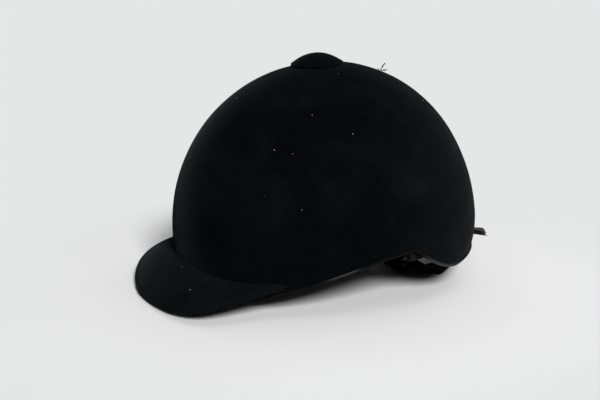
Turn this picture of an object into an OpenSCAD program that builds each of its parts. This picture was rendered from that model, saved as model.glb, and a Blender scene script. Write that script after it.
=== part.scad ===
// Velvet-covered riding helmet, standing as it lies on a table: on the tip of
// its peak and on the nape band that is folded in under the back.
// The hat frame has its origin at the middle of the crown's widest line, with
// x to the wearer's left, y to the back and z up. It leans forward by hat_lean.
// Angles run from the front (0) over the wearer's left ear to the back (180).

/* [Crown] */
// Half of the crown's greatest outside width
crown_half_width = 105; // [100:0.5:110]
// Centre of the crown to its front, outside
crown_front = 130; // [125:0.5:136]
// Centre of the crown to its back, outside
crown_back = 127; // [122:0.5:132]
// Height of the crown over its widest line
crown_height = 138; // [130:0.5:146]
// Squareness of the crown seen from above
plan_power = 2.2; // [2:0.05:2.5]
// Fullness of the crown's front
front_power = 2.03; // [1.9:0.01:2.3]
// Fullness of the crown's back
back_power = 2.11; // [1.9:0.01:2.3]
// How far the back draws in at the nape edge
nape_tuck = 6; // [3:0.1:8]
// Forward lean of the hat as it lies on the table
hat_lean = 8; // [6:0.1:10]

/* [Lower edge] */
// Drop of the lower edge at the forehead, under the widest line
forehead_drop = 17; // [14:0.5:19]
// Drop of the lower edge at the temples
temple_drop = 20; // [17:0.5:22]
// Angle of the temples' lowest point
temple_angle = 30; // [24:0.5:34]
// Drop of the lower edge over the ears
ear_drop = 1; // [0.8:0.1:3]
// Angle where the ear arch reaches its top
ear_angle = 98; // [95:0.5:100]
// Angle of the sharp rear corner of the ear arch
ear_corner_angle = 108.5; // [107:0.5:111]
// Drop of the lower edge at the nape
nape_drop = 30; // [27:0.5:33]
// Angle from which the nape edge runs level
nape_angle = 137; // [132:0.5:141]
// Height of the edge binding
binding_height = 2.8; // [2:0.1:4]

/* [Layers] */
// Thickness of the velvet cover with its backing
velvet = 1.4; // [1:0.1:2]
// Wall of the moulded shell
shell_wall = 3; // [2.4:0.1:4]
// Thickness of the impact liner
liner_wall = 16; // [13:0.5:18]
// Thickness of the padded sweatband
sweatband_pad = 5; // [3.5:0.1:7]
// Thickness of the quilted crown lining
lining_pad = 3; // [2:0.1:5]
// Depth of the stitched channels in the padding
channel_depth = 1.1; // [0.6:0.1:1.6]
// Glue line between the rigid layers
glue_gap = 0.2; // [0.1:0.05:0.3]
// Share of the edge drop that the impact liner follows
liner_reach = 0.2; // [0.15:0.01:0.22]
// Share of the edge drop that the sweatband follows
sweatband_reach = 0.68; // [0.6:0.01:0.7]

/* [Seams] */
// Angle of the seam between the front and side panels
seam_front = 45; // [40:0.5:50]
// Angle of the seam behind the ear
seam_ear = 104; // [102:0.5:106]
// Angle of the seam beside the rear panel
seam_back = 148.5; // [145:0.5:153]

/* [Button] */
// Radius of the covered crown button
button_radius = 21.5; // [18:0.5:24]
// Height of the button's dome over the crown's top
button_height = 7.8; // [7.4:0.1:8.6]
// Distance of the button behind the middle of the crown
button_back = 10; // [6:0.5:12]
// Backward tilt of the button on the crown
button_tilt = 4.9; // [3:0.1:7]
// Thickness of the velvet over the button
button_velvet = 1.2; // [0.8:0.1:1.6]
// Radius of the rivet that holds the button
button_rivet_radius = 1.6; // [1.2:0.1:1.8]
// Radius of the washer under the shell
button_washer_radius = 7; // [5:0.5:8]

/* [Peak] */
// Gap between the crown and the peak's edge at the peak's corners
peak_corner_gap = 0.74; // [0.5:0.01:4]
// Distance from the crown's middle to the peak's corners
peak_corner = 72; // [68:0.5:75]
// Length of the peak from its corners to its tip
peak_length = 95; // [88:0.5:102]
// Height of the peak's tip against the widest line
peak_tip_z = -18.3; // [-21:0.1:-16]
// Rise of the peak's edge from the tip to the corners
peak_edge_rise = 9.2; // [6:0.1:11]
// Height at which the peak leaves the front of the crown
peak_root_z = 5; // [2:0.5:8]
// Height at which the peak's corners leave the crown
peak_corner_z = -6.4; // [-8:0.1:-5]
// Angle at which the peak's corners meet the crown
peak_angle = 51; // [49:0.5:53]
// Upward bulge of the peak between root and edge
peak_bulge = 4; // [1:0.5:6]
// Thickness of the peak's bendable core
peak_core_wall = 2.8; // [2:0.1:4]
// Thickness of the velvet over the peak
peak_velvet = 1.4; // [1:0.1:2]
// Thickness of the cloth under the peak
peak_lining_wall = 0.8; // [0.5:0.1:1.2]
// Width of the binding round the peak's edge
peak_binding = 2.4; // [1.6:0.1:3]

/* [Harness] */
// Distance of the strap bars in from the crown's widest line
bar_inset = 20; // [19.8:0.1:20.5]
// Distance of the strap bars before and behind the middle
bar_y = 42; // [41:0.5:43]
// Depth of the front strap bars under the widest line
front_bar_drop = 6.2; // [6:0.1:6.4]
// Depth of the rear strap bars under the widest line
rear_bar_drop = 9.6; // [9.4:0.1:9.8]
// Radius of the bars that the webbing turns on
bar_radius = 1.5; // [1.2:0.1:1.8]
// Running clearance between a bar and the webbing round it
bar_clearance = 0.1; // [0.05:0.01:0.2]
// Thickness of the webbing
webbing = 1.5; // [1.2:0.1:1.8]
// Width of the front and rear straps
strap_width = 14; // [12:0.5:14.5]
// Width of the chin strap
chin_width = 19; // [15:0.5:20]
// Distance from the hinge line to the chin strap's bar
strap_drop = 68; // [66:0.5:70]
// How far the sliders sit from the middle, front on the left, rear on the right
slider_offset = 16; // [15.5:0.5:20]
// Gap between the folded straps and the table
strap_table_gap = 0.8; // [0.5:0.1:1.5]
// Length of the side-release buckle's socket
socket_length = 34; // [30:0.5:34]
// Width of the buckle's socket
socket_width = 28; // [26:0.5:28]
// Thickness of the buckle's socket
socket_depth = 8.5; // [8:0.1:9]
// Height of the socket's mouth
mouth_height = 3.8; // [3.4:0.1:3.9]
// Length of each fold of the spare chin strap
fold_length = 44; // [42:0.5:44]

/* [Nape band] */
// Length of the band that lies flat on the table, each side of the middle
nape_flat = 15; // [13:0.5:16]
// Distance of the band's middle in from the crown's back
nape_inset = 53; // [52:0.5:54]
// Half of the band's width
nape_half_width = 15; // [12:0.5:16]
// Thickness of the padded band
nape_pad = 4.5; // [3.5:0.1:5.5]

/* [Bow] */
// Width of the ribbon
ribbon_width = 7; // [6:0.5:9]
// Thickness of the ribbon
ribbon = 0.7; // [0.5:0.1:1]
// Reach of each loop of the bow
bow_loop = 21; // [18:0.5:24]
// Length of the bow's tails
bow_tail = 26; // [22:0.5:30]
// Depth of the bow's knot under the widest line
bow_drop = 25; // [24:0.5:25.5]

/* [Hidden] */
$fn = 48;

velvet_colour = "#141619";
satin_colour = "#26282b";
shell_colour = "#2b2d30";
liner_colour = "#d9d9d6";
padding_colour = "#1d1f22";
leather_colour = "#17181a";
webbing_colour = "#202226";
plastic_colour = "#0f1012";
metal_colour = "#9a9ca0";

// Depths of the layers' faces under the crown's outside
velvet_gap = 0.3;
pad_gap = 0.5;
shell_out = velvet + velvet_gap;
shell_in = shell_out + shell_wall;
liner_out = shell_in + glue_gap;
liner_in = liner_out + liner_wall;
pad_out = liner_in + pad_gap;

// Plan radius of the widest line at an angle, a given depth under the outside
function plan_radius(a, depth) =
    pow(pow(abs(sin(a)) / (crown_half_width - depth), plan_power)
    + pow(abs(cos(a)) / ((cos(a) > 0 ? crown_front : crown_back) - depth), plan_power),
    -1 / plan_power);

// Height of the dome over a plan point
function dome_z(p, depth) =
    let (a = atan2(abs(p[0]), -p[1]),
        share = min(1, norm(p) / plan_radius(a, depth)),
        power = back_power + (front_power - back_power) * (1 + cos(a)) / 2)
    (crown_height - depth) * pow(max(0, 1 - pow(share, power)), 1 / power);

// Point of the dome on the line from the button to the widest line
function dome_point(a, share, depth) =
    let (edge = plan_radius(a, depth) * [sin(a), -cos(a)],
        p = [0, button_back] * (1 - share) + edge * share)
    [p[0], p[1], dome_z(p, depth)];

function wall_x(y, depth, length) =
    (crown_half_width - depth) * pow(1 - pow(abs(y) / (length - depth), plan_power), 1 / plan_power);
function tuck(a, z) = nape_tuck * pow((1 - cos(a)) / 2, 1.5) * pow(z / nape_drop, 2);

function skirt_point(a, z, depth) =
    let (r = plan_radius(a, depth) - tuck(a, z)) [r * sin(a), -r * cos(a), z];

// Height of the crown's lower edge: forehead, temple, ear arch and nape
function edge_z(angle) =
    let (a = abs(angle) > 180 ? 360 - abs(angle) : abs(angle))
    a < temple_angle ? -forehead_drop
        - (temple_drop - forehead_drop) * sin(90 * a / temple_angle)
    : a < ear_angle ? -ear_drop - (temple_drop - ear_drop)
        * pow(1 - (a - temple_angle) / (ear_angle - temple_angle), 1.2)
    : a < ear_corner_angle ? -ear_drop
    : -ear_drop - (nape_drop - ear_drop)
        * sin(90 * min(1, (a - ear_corner_angle) / (nape_angle - ear_corner_angle)));

// Rows from the button down: [share of the plan radius, share of the edge drop]
dome_rows = 9;
function dome_share(row) = pow(sin(90 * row / dome_rows), 0.97);
function rows_from(first, skirt = [liner_reach, 0.55, 1]) = concat([[first, 0]],
    first < liner_ring ? [[liner_ring, 0]] : [],
    [for (row = [1:dome_rows]) if (dome_share(row) > first + 0.02) [dome_share(row), 0]],
    [for (share = skirt) [1, share]]);
function rows_between(first, last) = concat([[first, 0]],
    [for (row = [1:dome_rows])
        if (dome_share(row) > first + 0.02 && dome_share(row) < last - 0.01)
            [dome_share(row), 0]], [[last, 0]]);

function surface_point(a, row, depth, reach) = row[1] == 0
    ? dome_point(a, row[0], depth)
    : skirt_point(a, edge_z(a) * reach * row[1], depth);

function crown_grid(angles, rows, depth, reach = 1) =
    [for (row = rows) [for (a = angles) surface_point(a, row, depth, reach)]];

// Padding swells between stitched channels, so every second line lies deeper
function padded_grid(angles, rows, depth, reach) =
    [for (row = rows) [for (k = [0:len(angles) - 1])
        surface_point(angles[k], row, depth - (k % 2) * channel_depth, reach)]];

// Columns of the grid, chosen so that every seam and corner has its own
nape_steps = [0.12, 0.3, 0.52, 0.76, 1];
front_angles = [for (k = [0:5]) seam_front * k / 5];
side_angles = concat([for (k = [0:5]) seam_front + (90 - seam_front) * k / 5],
    [ear_angle, seam_ear]);
ear_angles = concat([seam_ear, ear_corner_angle],
    [for (s = nape_steps) ear_corner_angle + (nape_angle - ear_corner_angle) * s],
    [seam_back]);
rear_angles = [for (k = [0:3]) seam_back + (180 - seam_back) * k / 3];
half_angles = concat(front_angles,
    [for (k = [1:len(side_angles) - 1]) side_angles[k]],
    [for (k = [1:len(ear_angles) - 1]) ear_angles[k]],
    [for (k = [1:len(rear_angles) - 1]) rear_angles[k]]);
all_angles = concat(half_angles,
    [for (k = [len(half_angles) - 2:-1:1]) 360 - half_angles[k]]);

// Rings round the button: the panels', the shell's, the liner's and the lining's
panel_ring = 0.04;
shell_ring = 0.022;
liner_ring = 0.085;
lining_ring = 0.03;
lining_end = 0.965;
sweatband_start = 0.975;

function quad(a, b, c, d) = [[a, b, c], [a, c, d]];

// Solid between two surfaces with the same grid; columns run left to right
module sheet_solid(outer, inner, wrap = false) {
    rows = len(outer);
    cols = len(outer[0]);
    count = rows * cols;
    last = wrap ? cols : cols - 1;
    function at(side, row, col) = side * count + row * cols + col % cols;
    faces = concat(
        [for (r = [0:rows - 2], c = [0:last - 1])
            each quad(at(0, r, c), at(0, r, c + 1), at(0, r + 1, c + 1), at(0, r + 1, c))],
        [for (r = [0:rows - 2], c = [0:last - 1])
            each [[at(1, r + 1, c + 1), at(1, r, c + 1), at(1, r, c)],
                [at(1, r + 1, c), at(1, r + 1, c + 1), at(1, r, c)]]],
        [for (c = [0:last - 1])
            each quad(at(0, 0, c + 1), at(0, 0, c), at(1, 0, c), at(1, 0, c + 1))],
        [for (c = [0:last - 1])
            each quad(at(0, rows - 1, c), at(0, rows - 1, c + 1),
                at(1, rows - 1, c + 1), at(1, rows - 1, c))],
        wrap ? [] : [for (r = [0:rows - 2])
            each quad(at(1, r, 0), at(0, r, 0), at(0, r + 1, 0), at(1, r + 1, 0))],
        wrap ? [] : [for (r = [0:rows - 2])
            each quad(at(0, r, cols - 1), at(1, r, cols - 1),
                at(1, r + 1, cols - 1), at(0, r + 1, cols - 1))]);
    polyhedron(points = concat([for (row = outer) each row], [for (row = inner) each row]),
        faces = faces, convexity = 10);
}

// Solid swept through sections, each listed clockwise seen along the path
module swept_solid(sections, wrap = false) {
    sides = len(sections[0]);
    last = wrap ? len(sections) : len(sections) - 1;
    function at(c, i) = (c % len(sections)) * sides + i % sides;
    faces = concat(
        [for (c = [0:last - 1], i = [0:sides - 1])
            each quad(at(c, i), at(c + 1, i), at(c + 1, i + 1), at(c, i + 1))],
        wrap ? [] : [for (i = [1:sides - 2]) [at(0, 0), at(0, i), at(0, i + 1)]],
        wrap ? [] : [for (i = [1:sides - 2])
            [at(last, i + 1), at(last, i), at(last, 0)]]);
    polyhedron(points = [for (s = sections) each s], faces = faces, convexity = 10);
}

// Outline of the peak's edge, from the left corner over the tip to the right
peak_steps = 12;
peak_half_width = wall_x(peak_corner, 0, crown_front) + peak_corner_gap + peak_binding;
peak_spread = 1.28;
peak_fullness = 0.4;
function peak_turn(k) = 90 * sign(k) * (1 - pow(1 - abs(k) / peak_steps, 2.2));
function peak_edge(k, inset) =
    let (t = peak_turn(k), rise = 1 - cos(t))
    [(peak_half_width - inset) * sign(t) * pow(abs(sin(t)), peak_spread),
    -peak_corner - (peak_length - inset) * pow(max(0, cos(t)), peak_fullness),
    peak_tip_z + peak_edge_rise * (0.62 * rise + 0.38 * rise * rise)];
edge_half_depth = (peak_velvet + peak_core_wall + peak_lining_wall + 2 * glue_gap) / 2;
peak_stations = [for (k = [-peak_steps:peak_steps]) k];

// Point of a peak layer, a given depth under the peak's top
function peak_point(k, share, depth) =
    let (a = peak_angle * k / peak_steps,
        root_z = peak_root_z + (peak_corner_z - peak_root_z) * pow(sin(90 * abs(k) / peak_steps), 2),
        r = plan_radius(a, -2 * glue_gap),
        root = [r * sin(a), -r * cos(a), root_z],
        rim = peak_edge(k, peak_binding + glue_gap) + [0, 0, edge_half_depth],
        bulge = peak_bulge * 4 * share * (1 - share) * pow(cos(90 * k / peak_steps), 2))
    root * (1 - share) + rim * share + [0, 0, bulge - depth];
peak_shares = [0, 0.2, 0.45, 0.72, 1];
function peak_grid(depth) =
    [for (s = peak_shares) [for (k = peak_stations) peak_point(k, s, depth)]];
peak_core_top = peak_velvet + glue_gap;
peak_lining_top = peak_core_top + peak_core_wall + glue_gap;

// The table carries the lowest point of the peak's binding
hat_lift = -min([for (k = peak_stations)
    let (p = peak_edge(k, 0)) p[1] * sin(hat_lean) + (p[2] - edge_half_depth) * cos(hat_lean)]);
function hat_to_table_y(y, z) = y * cos(hat_lean) - z * sin(hat_lean);

// Bow: where the ribbon leaves the knot, and where its tails end
bow_surface = crown_back - tuck(180, bow_drop);
bow_lean = atan(2 * nape_tuck * bow_drop / (nape_drop * nape_drop));
bow_knot_depth = 4;
bow_knot_half = 3.6;
bow_back = 0.3;
tail_slope = 31.2;
tail_root = [bow_surface + 2.2, -bow_drop - 5.3];
tail_end = tail_root + bow_tail * [cos(tail_slope), -sin(tail_slope)];
hat_shift = -(hat_to_table_y(-peak_corner - peak_length, peak_tip_z)
    + hat_to_table_y(tail_end[0], tail_end[1])) / 2;

module hat() {
    translate([0, hat_shift, hat_lift]) rotate([hat_lean, 0, 0]) children();
}

module panel(angles) {
    hat() sheet_solid(crown_grid(angles, rows_from(panel_ring), 0),
        crown_grid(angles, rows_from(panel_ring), velvet));
}

module velvet_front_panel() {
    angles = concat([for (k = [5:-1:1]) -front_angles[k]], front_angles);
    color(velvet_colour) panel(angles);
}

module velvet_side_panel_left() {
    color(velvet_colour) panel(side_angles);
}

module velvet_side_panel_right() {
    color(velvet_colour) mirror([1, 0, 0]) panel(side_angles);
}

module velvet_ear_panel_left() {
    color(velvet_colour) panel(ear_angles);
}

module velvet_ear_panel_right() {
    color(velvet_colour) mirror([1, 0, 0]) panel(ear_angles);
}

module velvet_rear_panel() {
    angles = concat(rear_angles, [for (k = [2:-1:0]) 360 - rear_angles[k]]);
    color(velvet_colour) panel(angles);
}

// Rolled ribbon that closes the velvet's and the shell's lower edges
module edge_binding() {
    proud = 0.5;
    section = [[0.2, -glue_gap], [-proud, -0.35 * binding_height],
        [0.2, -0.8 * binding_height], [shell_in / 2, -binding_height],
        [shell_in - 0.2, -0.8 * binding_height],
        [shell_in + proud, -0.35 * binding_height], [shell_in - 0.2, -glue_gap]];
    color(satin_colour) hat() swept_solid([for (a = all_angles)
        [for (p = section)
            let (base = skirt_point(a, edge_z(a), 0), r = norm([base[0], base[1]]) - p[0])
            [r * sin(a), -r * cos(a), edge_z(a) + p[1]]]], wrap = true);
}

module outer_shell() {
    color(shell_colour) difference() {
        hat() sheet_solid(crown_grid(all_angles, rows_from(shell_ring), shell_out),
            crown_grid(all_angles, rows_from(shell_ring), shell_in), wrap = true);
        for (side = [1, -1], bar = bars)
            hanger_place(side, bar) rivet_hole(bar, rivet_radius + bar_clearance);
    }
}

module impact_liner() {
    color(liner_colour) hat() sheet_solid(
        crown_grid(all_angles, rows_from(liner_ring, [1]), liner_out, liner_reach),
        crown_grid(all_angles, rows_from(liner_ring, [1]), liner_in, liner_reach),
        wrap = true);
}

module crown_lining() {
    rows = rows_between(lining_ring, lining_end);
    color(padding_colour) hat() sheet_solid(crown_grid(all_angles, rows, pad_out),
        padded_grid(all_angles, rows, pad_out + lining_pad, 1), wrap = true);
}

module sweatband() {
    rows = [[sweatband_start, 0], [1, 0], [1, 0.5], [1, 1]];
    color(padding_colour) hat() sheet_solid(
        crown_grid(all_angles, rows, pad_out, sweatband_reach),
        padded_grid(all_angles, rows, pad_out + sweatband_pad, sweatband_reach),
        wrap = true);
}

// Frame of the button: at the top of the crown, tilted with its surface
module button_place() {
    hat() translate([0, button_back, dome_z([0, button_back], 0)])
        rotate([-button_tilt, 0, 0]) children();
}

// The button is a lens: a spherical cap that meets the crown at half a right angle
button_steps = 8;
button_gap = 0.65;
crown_curve_radius = 118;
cap_radius = button_radius * sqrt(2);
function under_button(r) = button_gap - r * r / (2 * crown_curve_radius);
function cap_rim(inset) = button_radius - 3 * inset;
function button_arc(inset) =
    let (low = acos(cap_rim(inset) / (cap_radius - inset)))
    [for (k = [0:button_steps])
        let (t = low + (90 - low) * k / button_steps)
        [(cap_radius - inset) * cos(t),
        button_height - cap_radius + (cap_radius - inset) * sin(t)]];
hem_width = 6;

module button_cover() {
    hem = button_radius - hem_width;
    color(velvet_colour) button_place() rotate_extrude() polygon(concat(
        button_arc(0),
        [for (k = [button_steps:-1:0]) button_arc(button_velvet)[k]],
        [[hem, under_button(hem) + button_velvet], [hem, under_button(hem)],
        [button_radius, under_button(button_radius)]]));
}

module button_core() {
    inset = button_velvet + glue_gap;
    hub = button_radius - hem_width - glue_gap;
    color(shell_colour) button_place() difference() {
        rotate_extrude() polygon(concat(
            [[0, button_gap], [hub, under_button(hub)], [hub, under_button(hub) + inset]],
            button_arc(inset)));
        translate([0, 0, -1]) cylinder(r = button_rivet_radius + bar_clearance, h = 5);
    }
}

// Underside of the shell under the button, and the stack below it
shell_under = -shell_in - 0.5;
washer_wall = 1.2;

module button_rivet() {
    color(metal_colour) button_place() {
        translate([0, 0, shell_under - washer_wall - 0.1])
            cylinder(r = button_rivet_radius, h = 3.8 - shell_under + washer_wall);
        translate([0, 0, shell_under - washer_wall - 1.6])
            cylinder(r1 = 2.4, r2 = 3.4, h = 1.5);
    }
}

module button_washer() {
    color(metal_colour) button_place() translate([0, 0, shell_under - washer_wall])
        difference() {
            cylinder(r = button_washer_radius, h = washer_wall);
            translate([0, 0, -1])
                cylinder(r = button_rivet_radius + bar_clearance, h = washer_wall + 2);
        }
}

module peak_core() {
    color(shell_colour) hat() sheet_solid(peak_grid(peak_core_top),
        peak_grid(peak_core_top + peak_core_wall));
}

module peak_cover() {
    color(velvet_colour) hat() sheet_solid(peak_grid(0), peak_grid(peak_velvet));
}

module peak_lining() {
    color(leather_colour) hat() sheet_solid(peak_grid(peak_lining_top),
        peak_grid(peak_lining_top + peak_lining_wall));
}

// Half-round binding that wraps the three layers' edges
module peak_edge_binding() {
    section = [for (t = [0:45:180]) [sin(t), cos(t)]];
    color(velvet_colour) hat() swept_solid([for (k = peak_stations)
        [for (p = section)
            peak_edge(k, peak_binding * (1 - p[0])) + [0, 0, edge_half_depth * p[1]]]]);
}

// Frame of the bow: on the velvet at the middle of the back
module bow_place() {
    hat() translate([0, bow_surface, -bow_drop]) children();
}

// The knot and the loops lie along the velvet, which slopes in to the nape
module bow_flat_place() {
    bow_place() rotate([-bow_lean, 0, 0]) children();
}

// Each loop is pressed flat and follows the curve of the back
loop_root = [bow_knot_half, 2.1];
loop_end = [bow_loop - 1.3, 0.4];
loop_radius = ribbon + 0.5;
module ribbon_loop() {
    linear_extrude(height = ribbon_width, center = true) difference() {
        hull() for (c = [loop_root, loop_end])
            translate(c) circle(r = loop_radius, $fn = 20);
        hull() for (c = [loop_root, loop_end])
            translate(c) circle(r = loop_radius - ribbon, $fn = 20);
    }
}

module bow_loops() {
    half = bow_knot_half + glue_gap;
    color(satin_colour) bow_flat_place() difference() {
        union() {
            ribbon_loop();
            mirror([1, 0, 0]) ribbon_loop();
        }
        translate([-half, -1, -ribbon_width]) cube([2 * half, 22, 2 * ribbon_width]);
    }
}

module bow_knot() {
    corner = 1;
    color(satin_colour) bow_flat_place() translate([0, bow_back, -bow_knot_half])
        linear_extrude(height = 2 * bow_knot_half) {
            translate([-bow_knot_half, corner])
                square([2 * bow_knot_half, bow_knot_depth - 2 * corner]);
            translate([corner - bow_knot_half, 0])
                square([2 * (bow_knot_half - corner), bow_knot_depth]);
            for (x = [corner - bow_knot_half, bow_knot_half - corner],
                y = [corner, bow_knot_depth - corner])
                translate([x, y]) circle(r = corner);
        }
}

// A tail droops along a shallow curve from under the knot, turned about itself
module ribbon_tail(turn, twist) {
    sag = 2.5;
    steps = 6;
    line = [for (k = [0:steps]) let (s = k / steps)
        [(tail_end[0] - tail_root[0]) * s,
        (tail_end[1] - tail_root[1]) * s + sag * 4 * s * (1 - s) * 0.5]];
    translate([0, tail_root[0] - bow_surface, tail_root[1] + bow_drop]) rotate([0, twist, turn])
        translate([0.5, 0, 0]) rotate([90, 0, 90]) linear_extrude(height = ribbon_width)
            polygon(concat(line, [for (k = [steps:-1:0]) line[k] - [0, ribbon]]));
}

module bow_tails() {
    color(satin_colour) bow_place() {
        ribbon_tail(-8, 62);
        mirror([1, 0, 0]) ribbon_tail(-8, 8);
    }
}

// Nape band: its underside's route from the table up into the back of the hat
nape_end_turn = 37;
nape_wall = 8.54;
nape_y = crown_back - nape_inset;
nape_end = wall_x(nape_y, shell_in, crown_back) - nape_wall;
nape_route = [[0, 0, 0], [nape_flat, 0, 0], [nape_flat + 15, -0.5, 4.3],
    [nape_end - 32.5, 1, 6.2], [nape_end - 20, 3.5, 12.8], [nape_end - 8, 5, 19.9],
    [nape_end - 3, 4, 28.5], [nape_end, 2, 38]];
nape_turns = [0, 0, 0, 8, 20, 33, 36, nape_end_turn];
nape_rolls = [0, 0, 16, 18, 18, 12, 5, 0];
nape_widths = [1, 1, 1, 0.97, 0.88, 0.76, 0.66, 0.62];
nape_last = len(nape_route) - 1;

function nape_station(k) =
    let (i = abs(k), side = k < 0 ? -1 : 1, p = nape_route[i])
    [side * p[0], p[1] + nape_y + hat_shift, p[2]];
function nape_section(k) =
    let (i = abs(k), side = k < 0 ? -1 : 1,
        before = nape_station(max(k - 1, -nape_last)),
        after = nape_station(min(k + 1, nape_last)),
        flat = i < 2,
        roll = nape_rolls[i],
        along = flat ? [1, 0, 0] : (after - before) / norm(after - before),
        across = [-side * sin(nape_turns[i]) * cos(roll), cos(nape_turns[i]) * cos(roll),
            -sin(roll)],
        up = cross(along, across) / norm(cross(along, across)),
        w = nape_half_width * nape_widths[i],
        t = nape_pad * (0.5 + 0.5 * nape_widths[i]))
    [for (q = [[0.5, 1], [-0.5, 1], [-0.88, 0.72], [-1, 0.36], [-0.88, 0], [0.88, 0],
        [1, 0.36], [0.88, 0.72]])
        nape_station(k) + across * q[0] * w + up * q[1] * t];

module nape_band() {
    color(leather_colour) swept_solid([for (k = [-nape_last:nape_last]) nape_section(k)]);
}

// Snap that holds each end of the nape band to the shell
module nape_band_studs() {
    stud_wall = 3.2;
    stud_radius = 4;
    for (side = [0, 1]) {
        color(metal_colour) mirror([side, 0, 0])
            translate(nape_station(nape_last) - [0, 0, 6])
                rotate([0, 0, nape_end_turn]) translate([velvet_gap, 0, 0]) rotate([0, 90, 0])
                    cylinder(r = stud_radius, h = stud_wall);
    }
}

// Hinge line of the left straps: through the front and the rear bar
bar_x = crown_half_width - bar_inset;
front_bar = [bar_x, -bar_y, -front_bar_drop];
rear_bar = [bar_x, bar_y, -rear_bar_drop];
bars = [front_bar, rear_bar];
hinge_origin = (front_bar + rear_bar) / 2;
hinge_pitch = atan2(front_bar_drop - rear_bar_drop, 2 * bar_y);
eye_inner = bar_radius + bar_clearance;
eye_outer = eye_inner + webbing;
ear_wall = 2.2;
ear_gap = 0.4;
hanger_half = strap_width / 2 + ear_gap + ear_wall;
rivet_radius = 1.4;

module mirror_side(side) {
    mirror([side < 0 ? 1 : 0, 0, 0]) children();
}

module hinge_place(side) {
    mirror_side(side) hat() translate(hinge_origin)
        rotate([hinge_pitch, 0, 0]) children();
}

module hanger_place(side, bar) {
    place = norm(bar - hinge_origin) * sign(bar[1]);
    hinge_place(side) translate([0, place, 0]) children();
}

// Distance from a bar to the shell's inner wall, along the hanger
wall_gap = 0.7;
function wall_reach(bar, offset) =
    let (y = bar[1] + offset, depth = shell_in,
        a = atan2(bar[0], -y))
    wall_x(y, depth, y < 0 ? crown_front : crown_back) - tuck(a, bar[2] - 3)
    - bar[0] - wall_gap;

// The rivets sit higher than the bars, where the shell still reaches
rivet_drop = 5.3;
rivet_edge = 2;
function rivet_rise(bar) = -rivet_drop - bar[2];

module rivet_hole(bar, radius) {
    translate([0, 0, rivet_rise(bar)]) rotate([0, 90, 0]) cylinder(r = radius, h = 16);
}

// U-shaped hanger: a plate on the shell, two ears and the bar between them
plate_in = eye_outer + 1.6;
plate_half = 3.6;
ear_half = 3;
module hanger(side, bar) {
    wide = hanger_half + 0.5;
    plate_top = max(plate_half, rivet_rise(bar) + rivet_edge);
    color(plastic_colour) hanger_place(side, bar) difference() {
        union() {
            translate([0, 0, -plate_half]) linear_extrude(height = plate_half + plate_top)
                polygon([[plate_in, -wide], [wall_reach(bar, -wide), -wide],
                    [wall_reach(bar, 0), 0], [wall_reach(bar, wide), wide],
                    [plate_in, wide]]);
            for (s = [-1, 1])
                translate([0, s * (hanger_half - ear_wall / 2), 0]) rotate([90, 0, 0])
                    linear_extrude(height = ear_wall, center = true) {
                        circle(r = ear_half);
                        translate([0, -ear_half]) square([plate_in + 0.5, 2 * ear_half]);
                    }
            rotate([90, 0, 0])
                cylinder(r = bar_radius, h = 2 * hanger_half - 1, center = true);
        }
        translate([plate_in - 1, 0, 0]) rivet_hole(bar, rivet_radius + bar_clearance);
    }
}

module front_hanger_left() {
    hanger(1, front_bar);
}

module rear_hanger_left() {
    hanger(1, rear_bar);
}

module front_hanger_right() {
    hanger(-1, front_bar);
}

module rear_hanger_right() {
    hanger(-1, rear_bar);
}

module hanger_rivets() {
    head = 1;
    color(metal_colour) for (side = [1, -1], bar = bars)
        hanger_place(side, bar) translate([plate_in - head - 0.1, 0, rivet_rise(bar)])
            rotate([0, 90, 0]) {
                cylinder(r = rivet_edge, h = head);
                cylinder(r = rivet_radius, h = wall_reach(bar, 0) - plate_in + 4);
            }
}

// Strap flap: the two straps of one ear with their slider. At rest it is folded
// in, so that the chin strap's bar lies just over the table.
slider_half = chin_width / 2 + ear_gap + ear_wall;
slider_depth = 2.2;
pivot_rise = 1.2;
pivot_target = eye_outer - pivot_rise + strap_table_gap
    + slider_half * sin(hat_lean + hinge_pitch);
function slider_y(side) = -side * slider_offset;
function bar_height(side, fold) =
    let (y = slider_y(side), z = -strap_drop * sin(fold), lean = hat_lean + hinge_pitch)
    hat_lift + y * sin(lean) + z * cos(lean) + hinge_origin[2] * cos(hat_lean);
function fold_angle(side, low = 5, high = 50, turns = 20) =
    let (middle = (low + high) / 2)
    turns == 0 ? middle
    : bar_height(side, middle) > pivot_target ? fold_angle(side, middle, high, turns - 1)
    : fold_angle(side, low, middle, turns - 1);
left_fold = fold_angle(1);
right_fold = fold_angle(-1);

module flap_place(side) {
    hinge_place(side) rotate([0, side > 0 ? -left_fold : -right_fold, 0]) children();
}

slider_length = 10.5;
slider_top = strap_drop - slider_length - eye_outer - ear_gap;
slot_gap = 0.2;

// One strap: an eye round its bar and a flat run that narrows into the slider
module strap(side, bar) {
    place = norm(bar - hinge_origin) * sign(bar[1]);
    along = sign(bar[1]);
    half = strap_width / 2;
    end = slider_top + 8;
    entry = slider_top - 0.6;
    straight = ear_half + 0.8;
    inner = slider_y(side) + along * 0.2;
    outer = slider_y(side) + along * (slider_half - ear_wall - 0.3);
    color(webbing_colour) flap_place(side) {
        translate([0, place, 0]) rotate([90, 0, 0]) difference() {
            cylinder(r = eye_outer, h = strap_width, center = true);
            cylinder(r = eye_inner, h = strap_width + 2, center = true);
        }
        translate([0, 0, -webbing / 2]) linear_extrude(height = webbing)
            polygon([[-eye_inner - 0.4, place + along * half],
                [-straight, place + along * half], [-entry, outer], [-end, outer],
                [-end, inner], [-entry, inner], [-straight, place - along * half],
                [-eye_inner - 0.4, place - along * half]]);
    }
}

module front_strap_left() {
    strap(1, front_bar);
}

module rear_strap_left() {
    strap(1, rear_bar);
}

module front_strap_right() {
    strap(-1, front_bar);
}

module rear_strap_right() {
    strap(-1, rear_bar);
}

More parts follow.
